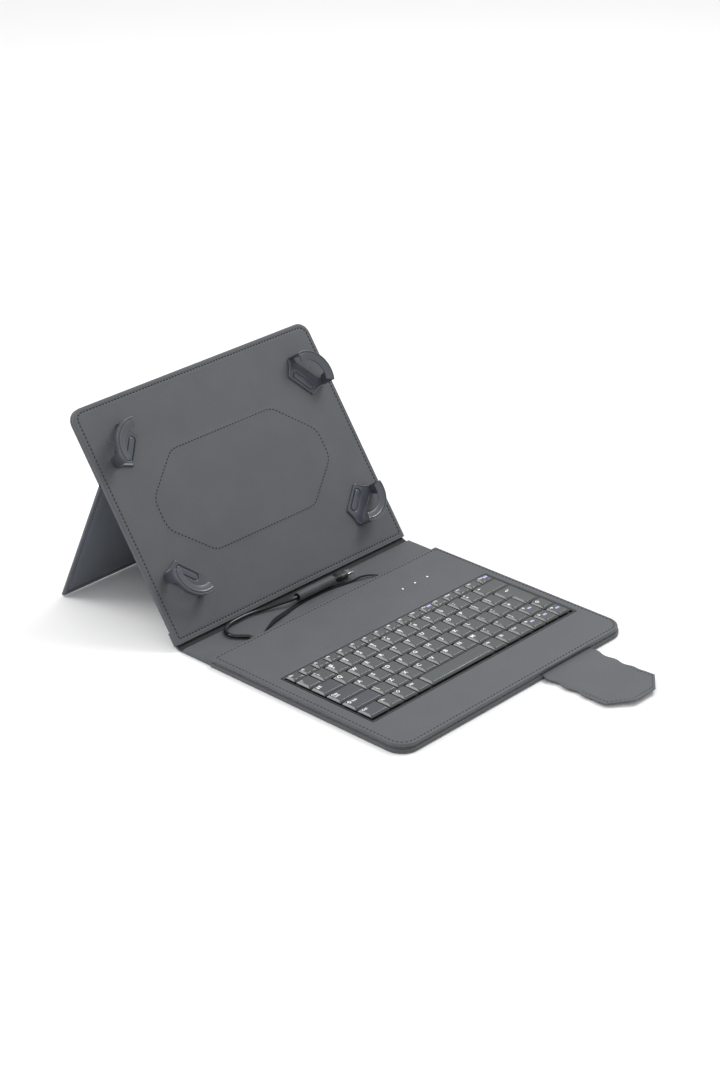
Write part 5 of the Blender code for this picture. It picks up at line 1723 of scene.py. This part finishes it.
# ---- Carried-over nodes and studio ------------------------------------------------------------
def dress_frame_nodes() -> None:
    """Give every node of the frame the finish of its slot."""
    slots = {part["node"]: part["material_slot"] for part in frame["record"]["subparts"]}
    made: dict[Finish, bpy.types.Material] = {}
    for name, node in frame["nodes"].items():
        finish = CAD_FINISHES[slots[name]]
        if finish not in made:
            made[finish] = finish.value.material(f"inner_{finish.name.lower()}")
        node.data.materials.clear()
        node.data.materials.append(made[finish])


@dataclass(frozen=True)
class Studio:
    """Pale floor, soft lights and the camera."""

    places: Places
    camera_place: tuple[float, float, float] = (-1.3462, -1.2885, 0.9837)
    camera_aim: tuple[float, float, float] = (0.0349, -0.0051, 0.0500)
    lens: float = 86.8
    lights: tuple[tuple[str, tuple[float, float, float], float, float], ...] = (
        ("key_light", (1.05, -0.15, 1.50), 0.8, 17.3),
        ("fill_light", (-1.3, -0.9, 1.2), 1.4, 4.0),
        ("rear_light", (-0.86, 1.16, 1.27), 1.0, 14.0))
    air_strength: float = 0.82
    floor_reach: float = 12.0
    floor_height: float = -0.4 * MM

    def build(self) -> None:
        """Build the floor, the lights and the camera."""
        self.floor()
        for light in self.lights:
            self.light(*light)
        world = bpy.data.worlds.new("studio_air")
        bpy.context.scene.world = world
        world.use_nodes = True
        air = world.node_tree.nodes["Background"].inputs
        air["Color"].default_value = (1.0, 1.0, 1.0, 1.0)
        air["Strength"].default_value = self.air_strength
        bpy.context.scene.view_settings.view_transform = "Standard"
        self.camera()

    def floor(self) -> None:
        """Large plain floor just under the case."""
        mesh = bpy.data.meshes.new("studio_floor")
        reach, height = self.floor_reach, self.floor_height
        corners = [(-reach, -reach, height), (reach, -reach, height), (reach, reach, height),
                   (-reach, reach, height)]
        mesh.from_pydata(corners, [], [(0, 1, 2, 3)])
        sheet = MaterialSheet("studio_floor")
        sheet.set(Base_Color=(0.9, 0.9, 0.9, 1.0), Roughness=0.9)
        mesh.materials.append(sheet.material)
        floor = bpy.data.objects.new("studio_floor", mesh)
        bpy.context.scene.collection.objects.link(floor)

    def light(self, name: str, place: tuple[float, float, float], size: float,
              power: float) -> None:
        """Soft square light that faces the case.

        Args:
            name: The light's name.
            place: Where it hangs, from the fold.
            size: Length of its side.
            power: Its power in watts.
        """
        lamp = bpy.data.lights.new(name, "AREA")
        lamp.size, lamp.energy = size, power
        holder = bpy.data.objects.new(name, lamp)
        bpy.context.scene.collection.objects.link(holder)
        holder.location = Vector(place) + Vector((0, self.places.fold, 0))
        aim = Vector((0, self.places.fold, 0.05)) - holder.location
        holder.rotation_euler = aim.to_track_quat("-Z", "Y").to_euler()

    def camera(self) -> None:
        """Camera in front and to the left, looking down on the case."""
        data = bpy.data.cameras.new("case_camera")
        data.lens, data.sensor_width, data.sensor_fit = self.lens, 36.0, "AUTO"
        camera = bpy.data.objects.new("case_camera", data)
        bpy.context.scene.collection.objects.link(camera)
        shift = Vector((0, self.places.fold, 0))
        camera.location = Vector(self.camera_place) + shift
        aim = Vector(self.camera_aim) + shift - camera.location
        camera.rotation_euler = aim.to_track_quat("-Z", "Y").to_euler()
        bpy.context.scene.camera = camera


def main() -> None:
    """Build every sub-assembly in order."""
    logging.basicConfig(level=logging.INFO, format="%(message)s")
    places = Places.read(STAND_OPEN)
    dress_frame_nodes()
    Studio(places).build()
    Lead(places).build()
    KeyboardHalf(places).build()
    KeyDeck().build()
    Spine(places).build()
    Holder(places).build()
    Stand(places).build()
    ClosureTab(places).build()


if __name__ == "__main__":
    main()
